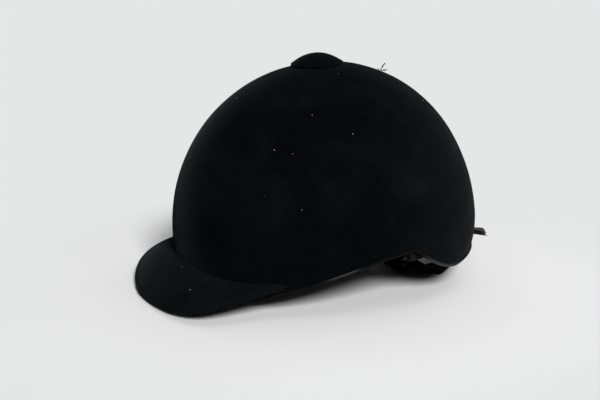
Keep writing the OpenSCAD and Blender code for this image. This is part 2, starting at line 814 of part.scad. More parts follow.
// Slider: takes both straps in one slot and carries the chin strap's bar
module strap_slider(side) {
    ear_reach = strap_drop - slider_top - slider_length;
    color(plastic_colour) flap_place(side) translate([0, slider_y(side), 0]) {
        difference() {
            translate([-slider_top - slider_length, -slider_half, -slider_depth])
                cube([slider_length, 2 * slider_half, 2 * slider_depth]);
            translate([-slider_top - 9, ear_wall - slider_half, -webbing / 2 - slot_gap])
                cube([10, 2 * (slider_half - ear_wall), webbing + 2 * slot_gap]);
        }
        for (s = [-1, 1])
            translate([-strap_drop, s * (slider_half - ear_wall / 2), pivot_rise])
                rotate([90, 0, 0]) linear_extrude(height = ear_wall, center = true) {
                    circle(r = bar_radius + 1);
                    translate([0, -bar_radius - 1])
                        square([ear_reach + 1, 2 * bar_radius + 2]);
                }
        translate([-strap_drop, 0, pivot_rise]) rotate([90, 0, 0])
            cylinder(r = bar_radius, h = 2 * slider_half - 1, center = true);
    }
}

module strap_slider_left() {
    strap_slider(1);
}

module strap_slider_right() {
    strap_slider(-1);
}

// Frame of a folded chin strap: on its bar, x running back along the straps
module chin_place(side) {
    flap_place(side) translate([-strap_drop, slider_y(side), pivot_rise]) children();
}

// Eye of the chin strap and its first run, which leaves over the eye's top
module chin_run(length) {
    rotate([90, 0, 0]) difference() {
        cylinder(r = eye_outer, h = chin_width, center = true);
        cylinder(r = eye_inner, h = chin_width + 2, center = true);
    }
    translate([0.3, -chin_width / 2, eye_inner]) cube([length - 0.3, chin_width, webbing]);
}

socket_start = 15;
socket_floor = 0.4;
tail_slot = 8;
module chin_strap_left() {
    color(webbing_colour) chin_place(1) chin_run(socket_start + tail_slot);
}

module rounded_plate(length, width, height, corner) {
    linear_extrude(height = height) {
        translate([corner, -width / 2]) square([length - 2 * corner, width]);
        translate([0, corner - width / 2]) square([length, width - 2 * corner]);
        for (x = [corner, length - corner], y = [corner - width / 2, width / 2 - corner])
            translate([x, y]) circle(r = corner);
    }
}

// Socket of the side-release buckle: strap slot, prong chamber, side windows
prong_depth = 3.2;
chamber_floor = 2.4;
module buckle_socket() {
    chamber = socket_length - tail_slot - 2.5;
    window = 9;
    color(plastic_colour) chin_place(1) translate([socket_start, 0, socket_floor])
        difference() {
            rounded_plate(socket_length, socket_width, socket_depth, 3);
            translate([-1, -chin_width / 2 - 0.3, eye_inner - socket_floor - slot_gap])
                cube([tail_slot + 1.5, chin_width + 0.6, webbing + 2 * slot_gap]);
            translate([socket_length - chamber, -10.5, chamber_floor])
                cube([chamber + 1, 21, mouth_height]);
            translate([socket_length - chamber + 5, -socket_width, chamber_floor - 0.6])
                cube([window, 2 * socket_width, mouth_height + 1.2]);
            for (s = [-1, 1])
                translate([socket_length - chamber + 5 + window / 2, s * (socket_width / 2 + 9), -1])
                    cylinder(r = 10.5, h = socket_depth + 2);
        }
}

// Spare length of the right chin strap, folded to and fro over its first run
fold_gap = 0.6;
plug_gap = 1.65;
fold_pitch = webbing + fold_gap;
layer_2 = eye_inner + 2 * fold_pitch;
layer_3 = layer_2 + webbing + plug_gap;
plug_base = 12;
plug_start = fold_length - 8;

module fold_turn(x, z, gap, direction) {
    translate([x, 0, z + gap / 2]) rotate([90, 0, 0])
        linear_extrude(height = chin_width, center = true) intersection() {
            difference() {
                circle(r = gap / 2 + webbing);
                circle(r = gap / 2);
            }
            translate([direction > 0 ? 0 : -10, -10]) square([10, 20]);
        }
}

module fold_layer(from, to, z) {
    translate([from, -chin_width / 2, z]) cube([to - from, chin_width, webbing]);
}

module chin_strap_right() {
    far = fold_length - 2;
    near = 5;
    color(webbing_colour) chin_place(-1) {
        chin_run(far);
        fold_turn(far, eye_inner + webbing, fold_gap, 1);
        fold_layer(near, far, eye_inner + fold_pitch);
        fold_turn(near, eye_inner + fold_pitch + webbing, fold_gap, -1);
        fold_layer(near, far, layer_2);
        fold_turn(far, layer_2 + webbing, plug_gap, 1);
        fold_layer(plug_start - 7, far, layer_3);
    }
}

// Elastic keeper round the folds
module chin_strap_keeper() {
    keeper = 0.5;
    half = chin_width / 2 + 0.2;
    bottom = eye_inner - 0.15;
    top = layer_2 + webbing + 0.15;
    color(webbing_colour) chin_place(-1) translate([18, 0, 0]) difference() {
        translate([0, -half - keeper, bottom - keeper])
            cube([7, 2 * (half + keeper), top - bottom + 2 * keeper]);
        translate([-1, -half, bottom]) cube([9, 2 * half, top - bottom]);
    }
}

// Plug of the buckle: a slotted base, a middle tongue and two sprung prongs
module buckle_plug() {
    floor_z = layer_3 - 0.7;
    base_depth = 4;
    prong_floor = floor_z + 0.2;
    color(plastic_colour) chin_place(-1) {
        difference() {
            translate([plug_start - plug_base, 0, floor_z])
                rounded_plate(plug_base, 24, base_depth, 1.5);
            translate([plug_start - 8, -chin_width / 2 - 0.3, layer_3 - slot_gap])
                cube([9, chin_width + 0.6, webbing + 2 * slot_gap]);
        }
        translate([0, 0, prong_floor]) linear_extrude(height = prong_depth) {
            translate([plug_start - plug_base - 16, -2.5]) square([17, 5]);
            for (s = [-1, 1])
                polygon([for (p = [[1, 9.5], [-6, 9], [-11, 11.6], [-14, 12.4], [-17, 10.6],
                    [-19.5, 8.2], [-19, 6.6], [-13, 7.2], [-6, 6.2], [1, 6.8]])
                    [plug_start - plug_base + p[0], s * p[1]]]);
        }
    }
}

velvet_front_panel();
velvet_side_panel_left();
velvet_side_panel_right();
velvet_ear_panel_left();
velvet_ear_panel_right();
velvet_rear_panel();
edge_binding();
outer_shell();
impact_liner();
crown_lining();
sweatband();
button_cover();
button_core();
button_rivet();
button_washer();
peak_core();
peak_cover();
peak_lining();
peak_edge_binding();
bow_loops();
bow_knot();
bow_tails();
nape_band();
nape_band_studs();
front_hanger_left();
rear_hanger_left();
front_hanger_right();
rear_hanger_right();
hanger_rivets();
front_strap_left();
rear_strap_left();
strap_slider_left();
chin_strap_left();
buckle_socket();
front_strap_right();
rear_strap_right();
strap_slider_right();
chin_strap_right();
chin_strap_keeper();
buckle_plug();
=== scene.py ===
"""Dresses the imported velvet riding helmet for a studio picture.

Sizes in the classes are millimetres in the hat's own frame, as a hatter takes
them: x to the wearer's left, y to the back, z up from the crown's widest line,
angles in degrees from the front round over the left ear. Every mesh is built in
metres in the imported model's frame.
"""

from __future__ import annotations

import logging
import math
from dataclasses import dataclass, field
from enum import Enum
from typing import Any, Sequence

import bpy
import numpy as np
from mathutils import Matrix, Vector


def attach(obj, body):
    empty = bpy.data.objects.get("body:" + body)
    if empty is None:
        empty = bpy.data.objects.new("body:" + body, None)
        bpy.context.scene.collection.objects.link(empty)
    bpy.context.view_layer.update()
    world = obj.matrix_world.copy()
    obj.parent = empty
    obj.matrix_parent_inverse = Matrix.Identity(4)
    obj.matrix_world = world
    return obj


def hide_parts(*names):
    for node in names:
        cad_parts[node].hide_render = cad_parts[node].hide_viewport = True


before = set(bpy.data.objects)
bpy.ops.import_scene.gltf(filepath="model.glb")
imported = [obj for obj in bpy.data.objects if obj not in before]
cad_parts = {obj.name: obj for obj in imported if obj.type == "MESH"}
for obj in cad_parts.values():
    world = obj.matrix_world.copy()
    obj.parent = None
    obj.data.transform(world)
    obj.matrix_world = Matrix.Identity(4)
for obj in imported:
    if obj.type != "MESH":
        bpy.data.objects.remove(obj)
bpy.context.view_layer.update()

log = logging.getLogger("riding_helmet")
Array = np.ndarray
Colour = tuple[float, float, float, float]
Node, Socket, NodeTree = bpy.types.Node, bpy.types.NodeSocket, bpy.types.NodeTree
Piece, Finish = bpy.types.Object, bpy.types.Material
FLOAT, COLOUR, VECTOR = "NodeSocketFloat", "NodeSocketColor", "NodeSocketVector"
GEOMETRY = "NodeSocketGeometry"
MM = 0.001
SHARP = 42.0


class Side(Enum):
    """A side of the wearer's head, as a factor on x."""

    LEFT = 1
    RIGHT = -1

    @property
    def word(self) -> str:
        """The side's name in a piece's name."""
        return self.name.lower()


class Body(Enum):
    """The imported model's moving bodies."""

    HELMET = "helmet"
    LEFT_STRAPS = "left_straps"
    LEFT_CHIN = "left_chin_strap"
    RIGHT_STRAPS = "right_straps"
    RIGHT_CHIN = "right_chin_strap"


# ---------------------------------------------------------------- shader tools


class Tree:
    """Adds nodes to one node tree in few words."""

    def __init__(self, tree: NodeTree) -> None:
        """Keeps the tree that nodes are added to."""
        self.tree = tree

    def add(self, kind: str, inputs: dict[Any, Any] | None = None, **props: Any) -> Node:
        """Adds a node.

        Args:
            kind: Blender's identifier of the node.
            inputs: Socket name or number to a value, or to a socket to link.
            props: Properties of the node.

        Returns:
            The new node.
        """
        node = self.tree.nodes.new(kind)
        for key, value in props.items():
            setattr(node, key, value)
        for key, value in (inputs or {}).items():
            if isinstance(value, Socket):
                self.tree.links.new(value, node.inputs[key])
            else:
                node.inputs[key].default_value = value
        return node

    def find(self, kind: str) -> Node:
        """Returns the tree's own node of a type."""
        return next(n for n in self.tree.nodes if n.type == kind)

    def math(self, operation: str, a: Any, b: Any = 0.0, clamp: bool = False) -> Socket:
        """Adds a Math node and returns its output."""
        return self.add("ShaderNodeMath", {0: a, 1: b}, operation=operation, use_clamp=clamp).outputs[0]

    def times(self, a: Any, b: Any, clamp: bool = False) -> Socket:
        """Multiplies two values."""
        return self.math("MULTIPLY", a, b, clamp)

    def plus(self, a: Any, b: Any, clamp: bool = False) -> Socket:
        """Adds two values."""
        return self.math("ADD", a, b, clamp)

    def axis(self, vector: Any, name: str) -> Socket:
        """Returns one axis of a vector."""
        return self.add("ShaderNodeSeparateXYZ", {0: vector}).outputs[name]

    def noise(self, vector: Any, scale: Any, detail: float = 3.0, rough: float = 0.55) -> Socket:
        """Adds a noise texture and returns its factor."""
        inputs = {"Vector": vector, "Scale": scale, "Detail": detail, "Roughness": rough}
        return self.add("ShaderNodeTexNoise", inputs).outputs["Fac"]

    def ramp(self, factor: Any, low: float, high: float) -> Socket:
        """Adds a Map Range node that turns low..high smoothly into 0..1."""
        inputs = {"Value": factor, "From Min": low, "From Max": high}
        return self.add("ShaderNodeMapRange", inputs, interpolation_type="SMOOTHSTEP").outputs["Result"]

    def mix(self, factor: Any, a: Any, b: Any) -> Socket:
        """Mixes two colours and returns the result."""
        return self.add("ShaderNodeMix", {0: factor, 6: a, 7: b}, data_type="RGBA").outputs[2]

    def show_to_camera(self, share: Any, lit: Socket, pale: Socket) -> None:
        """Shows a plain tone to the camera and to shine, and the lit one to all other rays.

        Args:
            share: How far the plain tone takes over, from 0 to 1.
            lit: The shader that lights and shadows follow.
            pale: The shader of the plain tone.
        """
        path = self.add("ShaderNodeLightPath").outputs
        seen = self.math("MAXIMUM", path["Is Camera Ray"], path["Is Glossy Ray"])
        blend = self.add("ShaderNodeMixShader", {0: self.times(share, seen), 1: lit, 2: pale})
        output = next(n for n in self.tree.nodes if n.type.startswith("OUTPUT"))
        self.tree.links.new(blend.outputs[0], output.inputs["Surface"])


class GroupTree(Tree):
    """A node group with named inputs and outputs."""

    def __init__(
        self, name: str, inputs: dict[str, tuple[str, Any]], outputs: dict[str, str], kind: str = "ShaderNodeTree"
    ) -> None:
        """Makes the empty group with its sockets.

        Args:
            name: Name of the group.
            inputs: Input name to its socket kind and default.
            outputs: Output name to its socket kind.
            kind: Blender's identifier of its kind.
        """
        super().__init__(bpy.data.node_groups.new(name, kind))
        face = self.tree.interface
        self.sockets: dict[str, str] = {}
        for key, (socket_kind, default) in inputs.items():
            socket = face.new_socket(key, in_out="INPUT", socket_type=socket_kind)
            if default is not None:
                socket.default_value = default
            self.sockets[key] = socket.identifier
        for key, socket_kind in outputs.items():
            face.new_socket(key, in_out="OUTPUT", socket_type=socket_kind)
        self.given = self.add("NodeGroupInput").outputs
        self.result = self.add("NodeGroupOutput").inputs

    def send(self, **values: Socket) -> NodeTree:
        """Links the outputs by their names and returns the group."""
        for key, value in values.items():
            self.tree.links.new(value, self.result[key])
        return self.tree


class Effects:
    """Shader groups that several finishes share, each built once."""

    def __init__(self) -> None:
        """Builds every group."""
        self.pile = self._pile()
        self.weave = self._weave()
        self.grain = self._grain()
        self.dust = self._dust()
        self.wear = self._wear()

    @staticmethod
    def _pile() -> NodeTree:
        """Cut pile: brushed patches over a fine, upright nap."""
        inputs = {
            "Vector": (VECTOR, None),
            "Nap": (COLOUR, (0.003, 0.003, 0.004, 1)),
            "Brushed": (COLOUR, (0.008, 0.008, 0.009, 1)),
            "Nap Scale": (FLOAT, 900.0),
            "Tuft Scale": (FLOAT, 140.0),
            "Patch Scale": (FLOAT, 22.0),
        }
        tree = GroupTree("cut_pile", inputs, {"Color": COLOUR, "Roughness": FLOAT, "Height": FLOAT})
        given, place = tree.given, {"Vector": tree.given["Vector"]}
        big = tree.add(
            "ShaderNodeTexNoise", place | {"Scale": given["Patch Scale"], "Detail": 4.0, "Distortion": 0.6}
        ).outputs["Fac"]
        small = tree.add("ShaderNodeTexNoise", place | {"Scale": given["Nap Scale"], "Detail": 2.0}).outputs["Fac"]
        mid = tree.noise(given["Vector"], given["Tuft Scale"])
        patch, fleck, tuft = tree.ramp(big, 0.35, 0.72), tree.ramp(small, 0.4, 0.7), tree.ramp(mid, 0.5, 0.75)
        share = tree.times(patch, tree.plus(0.35, tree.times(fleck, 0.65)))
        share = tree.plus(share, tree.times(tuft, 0.15), clamp=True)
        return tree.send(
            Color=tree.mix(share, given["Nap"], given["Brushed"]),
            Roughness=tree.plus(0.86, tree.times(fleck, 0.12)),
            Height=tree.plus(tree.times(small, 0.75), tree.times(mid, 0.25)),
        )

    @staticmethod
    def _weave() -> NodeTree:
        """Plain weave on a UV map in millimetres: warp over weft, and ribs."""
        inputs = {"Vector": (VECTOR, None), "Warp": (FLOAT, 1.2), "Weft": (FLOAT, 1.2), "Ribbing": (FLOAT, 0.0)}
        tree = GroupTree("plain_weave", inputs, {"Height": FLOAT, "Thread": FLOAT})
        given = tree.given
        u, v = (
            tree.math("SINE", tree.times(tree.times(tree.axis(given["Vector"], name), given[threads]), math.pi))
            for name, threads in (("X", "Weft"), ("Y", "Warp"))
        )
        warp, weft = tree.math("ABSOLUTE", v), tree.math("ABSOLUTE", u)
        over = tree.plus(tree.times(tree.times(u, v), 0.5), 0.5)
        cloth = tree.plus(tree.times(warp, over), tree.times(weft, tree.math("SUBTRACT", 1.0, over)))
        height = tree.add("ShaderNodeMix", {0: given["Ribbing"], 2: cloth, 3: weft}).outputs[0]
        return tree.send(Height=height, Thread=over)

    @staticmethod
    def _grain() -> NodeTree:
        """Pebbled grain of coated cloth, with finer pores."""
        inputs = {"Vector": (VECTOR, None), "Scale": (FLOAT, 700.0)}
        tree = GroupTree("pebble_grain", inputs, {"Height": FLOAT, "Tone": FLOAT})
        place = {key: tree.given[key] for key in inputs}
        cell = tree.add("ShaderNodeTexVoronoi", place | {"Randomness": 0.9}, feature="SMOOTH_F1").outputs["Distance"]
        fine = tree.add("ShaderNodeTexNoise", place | {"Detail": 4.0}).outputs["Fac"]
        pebble = tree.math("SUBTRACT", 1.0, cell)
        height = tree.plus(tree.times(pebble, 0.8), tree.times(fine, 0.25))
        return tree.send(Height=height, Tone=tree.ramp(fine, 0.3, 0.75))

    @staticmethod
    def _dust() -> NodeTree:
        """Loose dust: more on faces that look up, in thin clouds and specks."""
        inputs = {"Vector": (VECTOR, None), "Amount": (FLOAT, 0.5)}
        inputs |= {"Cloud Scale": (FLOAT, 35.0), "Speck Scale": (FLOAT, 1500.0)}
        tree = GroupTree("loose_dust", inputs, {"Mask": FLOAT})
        given = tree.given
        up = tree.axis(tree.add("ShaderNodeNewGeometry").outputs["Normal"], "Z")
        cloud = tree.ramp(tree.noise(given["Vector"], given["Cloud Scale"], 5.0), 0.52, 0.85)
        speck = tree.ramp(tree.noise(given["Vector"], given["Speck Scale"], 1.0), 0.68, 0.8)
        mask = tree.plus(tree.times(cloud, 0.35), tree.times(speck, 0.5))
        mask = tree.times(mask, tree.ramp(up, -0.3, 0.9))
        return tree.send(Mask=tree.times(mask, given["Amount"], clamp=True))

    @staticmethod
    def _wear() -> NodeTree:
        """Edges rubbed by handling, broken up by noise."""
        inputs = {"Vector": (VECTOR, None), "Amount": (FLOAT, 0.5), "Break Scale": (FLOAT, 260.0)}
        tree = GroupTree("rubbed_edges", inputs, {"Mask": FLOAT})
        given = tree.given
        edge = tree.ramp(tree.add("ShaderNodeNewGeometry").outputs["Pointiness"], 0.51, 0.58)
        broken = tree.ramp(tree.noise(given["Vector"], given["Break Scale"], 4.0), 0.35, 0.7)
        return tree.send(Mask=tree.times(tree.times(edge, broken), given["Amount"], clamp=True))


class Material(Tree):
    """One material with its Principled shader and coordinate nodes."""

    def __init__(self, name: str, **sockets: Any) -> None:
        """Makes the material.

        Args:
            name: Name of the material.
            sockets: Values of the shader's sockets, with _ for a space.
        """
        self.material = bpy.data.materials.new(name)
        self.material.use_nodes = True
        super().__init__(self.material.node_tree)
        self.shader = self.find("BSDF_PRINCIPLED")
        for key, value in sockets.items():
            self.shader.inputs[key.replace("_", " ")].default_value = value
        coords = self.add("ShaderNodeTexCoord")
        self.object_space = coords.outputs["Object"]
        self.uv = coords.outputs["UV"]

    def group(self, group: NodeTree, **inputs: Any) -> Any:
        """Places a shared effect on the object's coordinates and returns its outputs."""
        return self.add("ShaderNodeGroup", {"Vector": self.object_space} | inputs, node_tree=group).outputs

    def feed(self, socket: str, value: Socket) -> None:
        """Links a value to a socket of the shader."""
        self.tree.links.new(value, self.shader.inputs[socket])

    def bump(self, height: Socket, strength: float, distance: float) -> None:
        """Adds a bump that feeds the shader's normal."""
        node = self.add("ShaderNodeBump", {"Height": height, "Strength": strength, "Distance": distance * MM})
        self.feed("Normal", node.outputs["Normal"])


def rgb(*values: float) -> Colour:
    """Returns an opaque colour from one grey or three channels."""
    r, g, b = values if len(values) == 3 else values * 3
    return (r, g, b, 1.0)


@dataclass(frozen=True)
class Velvet:
    """Short black pile over cloth, with painted light: its tones are painted lighter towards the rear, where light
    falls on the back.
    """

    name: str
    nap: Colour = rgb(0.0009, 0.0012, 0.0015)
    brushed: Colour = rgb(0.0023, 0.0027, 0.0030)
    sheen: float = 0.023
    sheen_roughness: float = 0.40
    dust: float = 0.05
    # Painted light: factor by which the tones are painted lighter at the rear, and how far back in metres that is
    # full.
    rearward: float = 1.0
    rear_at: float = 0.12
    dust_tone: float = 0.08
    pile_strength: float = 0.5
    pile_height: float = 0.6

    def build(self, effects: Effects) -> Finish:
        """Returns the material."""
        mat = Material(
            self.name,
            Roughness=0.95,
            Specular_IOR_Level=0.0,
            Sheen_Weight=self.sheen,
            Sheen_Roughness=self.sheen_roughness,
            Sheen_Tint=rgb(0.92, 0.96, 1.0),
        )
        # Painted light: nap and brushed tones mix towards lighter copies from the middle to the rear, standing in for
        # light on the back.
        along = mat.ramp(mat.axis(mat.object_space, "Y"), 0.0, self.rear_at)
        nap, brushed = (
            mat.mix(along, tone, rgb(*(c * self.rearward for c in tone[:3]))) for tone in (self.nap, self.brushed)
        )
        pile = mat.group(effects.pile, Nap=nap, Brushed=brushed)
        dust = mat.group(effects.dust, Amount=self.dust)
        mat.feed("Base Color", mat.mix(dust["Mask"], pile["Color"], rgb(self.dust_tone)))
        mat.feed("Roughness", pile["Roughness"])
        mat.bump(pile["Height"], self.pile_strength, self.pile_height)
        return mat.material


@dataclass(frozen=True)
class WovenCloth:
    """Ribbon, webbing or twill with its threads on a UV map in millimetres."""

    name: str
    colour: Colour
    worn: Colour
    warp: float
    weft: float
    ribbing: float = 0.0
    roughness: float = 0.6
    sheen: float = 0.15
    bump: float = 0.5
    specular: float = 0.35
    pressed: float = 0.0
    fading_scale: float = 90.0
    wear: float = 0.6
    thread_height: float = 0.3
    pressed_places: tuple[tuple[float, ...], ...] = (
        (0.044, 0.06, 0.085, 0.1, 1.0),
        (-0.036, -0.03, -0.014, -0.006, 0.5),
    )

    def build(self, effects: Effects) -> Finish:
        """Returns the material."""
        mat = Material(
            self.name,
            Roughness=self.roughness,
            Specular_IOR_Level=self.specular,
            Sheen_Weight=self.sheen,
            Sheen_Roughness=0.4,
            Coat_Roughness=0.35,
        )
        weave = mat.group(effects.weave, Vector=mat.uv, Warp=self.warp, Weft=self.weft, Ribbing=self.ribbing)
        tone = mat.ramp(mat.noise(mat.object_space, self.fading_scale, 4.0), 0.3, 0.8)
        tone = mat.times(tone, mat.plus(0.4, mat.times(weave["Thread"], 0.6)))
        wear = mat.group(effects.wear, Amount=self.wear)
        tone = mat.plus(tone, wear["Mask"], clamp=True)
        mat.feed("Base Color", mat.mix(tone, self.colour, self.worn))
        mat.feed("Roughness", mat.plus(self.roughness - 0.08, mat.times(weave["Thread"], 0.16)))
        if self.pressed > 0.0:
            self.press(mat)
        mat.bump(weave["Height"], self.bump, self.thread_height)
        return mat.material

    def press(self, mat: Material) -> None:
        """Lets the ribbon shine where the iron pressed it flat: over the nape and before the ear."""
        place = mat.axis(mat.object_space, "Y")
        shares = []
        for rise, full, fade, end, share in self.pressed_places:
            spot = mat.times(mat.ramp(place, rise, full), mat.ramp(place, end, fade))
            shares.append(mat.times(spot, share))
        mat.feed("Coat Weight", mat.times(mat.plus(*shares), self.pressed))


@dataclass(frozen=True)
class Leatherette:
    """Coated cloth with a soft shine, creased where it bends."""

    name: str
    colour: Colour = rgb(0.0025, 0.0025, 0.003)
    rubbed: Colour = rgb(0.010, 0.010, 0.011)
    gloss: float = 0.35
    wear: float = 0.8
    grain_scale: float = 900.0
    crease_scale: float = 120.0
    gloss_scale: float = 75.0
    grain_strength: float = 0.35
    grain_height: float = 0.4

    def build(self, effects: Effects) -> Finish:
        """Returns the material."""
        mat = Material(self.name, Roughness=0.5, Specular_IOR_Level=0.0, Coat_Roughness=0.28)
        grain = mat.group(effects.grain, Scale=self.grain_scale)
        wear = mat.group(effects.wear, Amount=self.wear)
        crease = mat.ramp(mat.noise(mat.object_space, self.crease_scale, 5.0, 0.7), 0.45, 0.75)
        share = mat.plus(mat.times(crease, 0.25), wear["Mask"], clamp=True)
        mat.feed("Base Color", mat.mix(share, self.colour, self.rubbed))
        mat.feed("Roughness", mat.plus(0.4, mat.times(grain["Tone"], 0.2)))
        gloss = mat.ramp(mat.noise(mat.object_space, self.gloss_scale, 4.0, 0.6), 0.56, 0.72)
        mat.feed("Coat Weight", mat.times(gloss, self.gloss))
        mat.bump(mat.plus(grain["Height"], mat.times(crease, 0.6)), self.grain_strength, self.grain_height)
        return mat.material


@dataclass(frozen=True)
class Moulded:
    """Moulded plastic or metal with a fine tooth and rubbed edges."""

    name: str
    colour: Colour
    rubbed: Colour
    roughness: float = 0.45
    metallic: float = 0.0
    tooth: float = 1400.0
    bump: float = 0.15
    specular: float = 0.45
    wear: float = 0.9
    fading_scale: float = 180.0
    tooth_height: float = 0.2

    def build(self, effects: Effects) -> Finish:
        """Returns the material."""
        mat = Material(self.name, Roughness=self.roughness, Metallic=self.metallic, Specular_IOR_Level=self.specular)
        wear = mat.group(effects.wear, Amount=self.wear)
        tone = mat.ramp(mat.noise(mat.object_space, self.fading_scale, 4.0), 0.3, 0.8)
        share = mat.plus(wear["Mask"], mat.times(tone, 0.25), clamp=True)
        mat.feed("Base Color", mat.mix(share, self.colour, self.rubbed))
        mat.feed("Roughness", mat.plus(self.roughness - 0.1, mat.times(tone, 0.2)))
        mat.bump(mat.noise(mat.object_space, self.tooth), self.bump, self.tooth_height)
        return mat.material


@dataclass(frozen=True)
class BeadFoam:
    """Pressed foam beads, each a little apart in tone."""

    name: str
    bead: float = 330.0
    light: Colour = rgb(0.055, 0.055, 0.056)
    dark: Colour = rgb(0.032, 0.032, 0.033)
    joint: Colour = rgb(0.018)
    joint_width: float = 0.08
    bead_width: float = 0.25
    bead_strength: float = 0.5
    bead_height: float = 0.6

    def build(self) -> Finish:
        """Returns the material."""
        mat = Material(self.name, Roughness=0.7, Specular_IOR_Level=0.12)
        place = {"Vector": mat.object_space, "Scale": self.bead}
        edge = mat.add("ShaderNodeTexVoronoi", place, feature="DISTANCE_TO_EDGE").outputs["Distance"]
        tint = mat.add("ShaderNodeTexVoronoi", place).outputs["Color"]
        tone = mat.times(mat.add("ShaderNodeSeparateColor", {0: tint}).outputs[0], 0.5)
        bead = mat.mix(tone, self.light, self.dark)
        mat.feed("Base Color", mat.mix(mat.ramp(edge, 0.0, self.joint_width), self.joint, bead))
        mat.bump(mat.ramp(edge, 0.0, self.bead_width), self.bead_strength, self.bead_height)
        return mat.material


@dataclass(frozen=True)
class Thread:
    """Twisted sewing thread or a loose fibre."""

    name: str
    colour: Colour
    dark: Colour
    roughness: float = 0.6
    twist_scale: float = 700.0
    twist_strength: float = 0.4
    twist_height: float = 0.2

    def build(self) -> Finish:
        """Returns the material."""
        mat = Material(self.name, Roughness=self.roughness, Sheen_Weight=0.05, Specular_IOR_Level=0.06)
        place = {"Vector": mat.object_space, "Scale": self.twist_scale, "Distortion": 2.0}
        twist = mat.add("ShaderNodeTexWave", place, bands_direction="DIAGONAL").outputs["Fac"]
        mat.feed("Base Color", mat.mix(twist, self.dark, self.colour))
        mat.bump(twist, self.twist_strength, self.twist_height)
        return mat.material


class Finishes:
    """Every material of the helmet, by the name of what it is on."""

    def __init__(self) -> None:
        """Builds the materials."""
        fx = Effects()
        black = rgb(0.0022, 0.0022, 0.0025)
        # The crown's velvet carries painted light: its tones are painted lighter towards the rear.
        self.velvet = Velvet("crown_velvet", rearward=3.6).build(fx)
        self.peak_velvet = Velvet(
            "peak_velvet", rgb(0.0016, 0.0020, 0.0023), rgb(0.0043, 0.0048, 0.0052), 0.017, 0.42, 0.06
        ).build(fx)
        self.binding = WovenCloth(
            "binding_ribbon", rgb(0.0018, 0.0018, 0.0020), rgb(0.0052), 3.0, 2.2, 0.85, 0.45, 0.01, 0.4, 0.0, 0.45
        ).build(fx)
        self.bow = WovenCloth("bow_ribbon", black, rgb(0.008), 3.4, 2.0, 0.8, 0.55, 0.04, 0.4, 0.14).build(fx)
        self.webbing = WovenCloth("strap_webbing", black, rgb(0.0056), 0.9, 1.1, 0.0, 0.7, 0.01, 0.8, 0.0).build(fx)
        self.elastic = WovenCloth(
            "keeper_elastic", rgb(0.003), rgb(0.009), 1.6, 1.0, 0.7, 0.7, 0.05, 0.7, 0.1
        ).build(fx)
        self.twill = WovenCloth("peak_twill", rgb(0.0045), rgb(0.011), 1.6, 2.4, 0.3, 0.8, 0.06, 0.6, 0.1).build(fx)
        self.lining = WovenCloth(
            "lining_knit", rgb(0.0026, 0.0026, 0.0029), rgb(0.0075), 1.4, 1.4, 0.1, 0.85, 0.05, 0.6, 0.06
        ).build(fx)
        self.leatherette = Leatherette("band_leatherette").build(fx)
        self.shell = Moulded("shell_plastic", rgb(0.02), rgb(0.06), 0.55, 0.0, 900.0, 0.3).build(fx)
        self.plastic = Moulded("buckle_plastic", rgb(0.0022), rgb(0.007), 0.5, specular=0.03).build(fx)
        self.metal = Moulded("rivet_metal", rgb(0.42, 0.42, 0.43), rgb(0.7), 0.3, 1.0, 1900.0, 0.08).build(fx)
        self.foam = BeadFoam("liner_beads").build()
        self.thread = Thread("sewing_thread", rgb(0.006), rgb(0.003)).build()
        self.lint = Thread("pale_lint", rgb(0.45, 0.45, 0.43), rgb(0.22), 0.8).build()
        self.loose = Thread("dark_fibre", rgb(0.02, 0.02, 0.022), rgb(0.008), 0.8).build()


# ------------------------------------------------------------------ mesh tools


def add_object(name: str, data: bpy.types.ID) -> Piece:
    """Makes an object of a mesh, lamp or camera and links it to the scene."""
    obj = bpy.data.objects.new(name, data)
    bpy.context.scene.collection.objects.link(obj)
    return obj


def make_mesh(
    name: str,
    points: Array,
    faces: Sequence[Sequence[int]],
    material: Finish,
    uvs: Array | None = None,
    sharp: float = SHARP,
) -> Piece:
    """Makes an object from points and faces.

    Args:
        name: Name of the piece.
        points: Points in metres.
        faces: Corner numbers of each face, anticlockwise from outside.
        material: Material of the whole piece.
        uvs: One UV pair for each point, in millimetres, or None.
        sharp: Angle in degrees over which an edge stays sharp.

    Returns:
        The new object, linked to the scene.
    """
    mesh = bpy.data.meshes.new(name)
    mesh.from_pydata(points.tolist(), [], [list(map(int, f)) for f in faces])
    mesh.validate()
    if uvs is not None:
        layer = mesh.uv_layers.new(name="UVMap")
        corner = np.zeros(len(mesh.loops), np.int32)
        mesh.loops.foreach_get("vertex_index", corner)
        layer.data.foreach_set("uv", uvs[corner].astype(np.float32).ravel())
    mesh.shade_smooth()
    mesh.set_sharp_from_angle(angle=math.radians(sharp))
    mesh.materials.append(material)
    return add_object(name, mesh)


def grid_faces(rows: int, cols: int, base: int = 0, wrap: bool = False, flip: bool = False) -> list[list[int]]:
    """Returns the faces of a grid whose rows go down and columns go right."""
    last = cols if wrap else cols - 1
    made = []
    for r in range(rows - 1):
        for c in range(last):
            d = (c + 1) % cols
            quad = [base + r * cols + c, base + (r + 1) * cols + c, base + (r + 1) * cols + d, base + r * cols + d]
            made.append(quad[::-1] if flip else quad)
    return made


def sheet_faces(rows: int, cols: int, wrap: bool = False) -> list[list[int]]:
    """Returns the faces of a closed sheet: outer grid, inner grid and edges."""
    n = rows * cols
    made = grid_faces(rows, cols, wrap=wrap) + grid_faces(rows, cols, n, wrap, flip=True)
    last = cols if wrap else cols - 1
    low = (rows - 1) * cols
    for c in range(last):
        d = (c + 1) % cols
        made.append([c, d, n + d, n + c])
        made.append([low + d, low + c, n + low + c, n + low + d])
    if not wrap:
        for r in range(rows - 1):
            a, b = r * cols, (r + 1) * cols
            made.append([b, a, n + a, n + b])
            made.append([a + cols - 1, b + cols - 1, n + b + cols - 1, n + a + cols - 1])
    return made


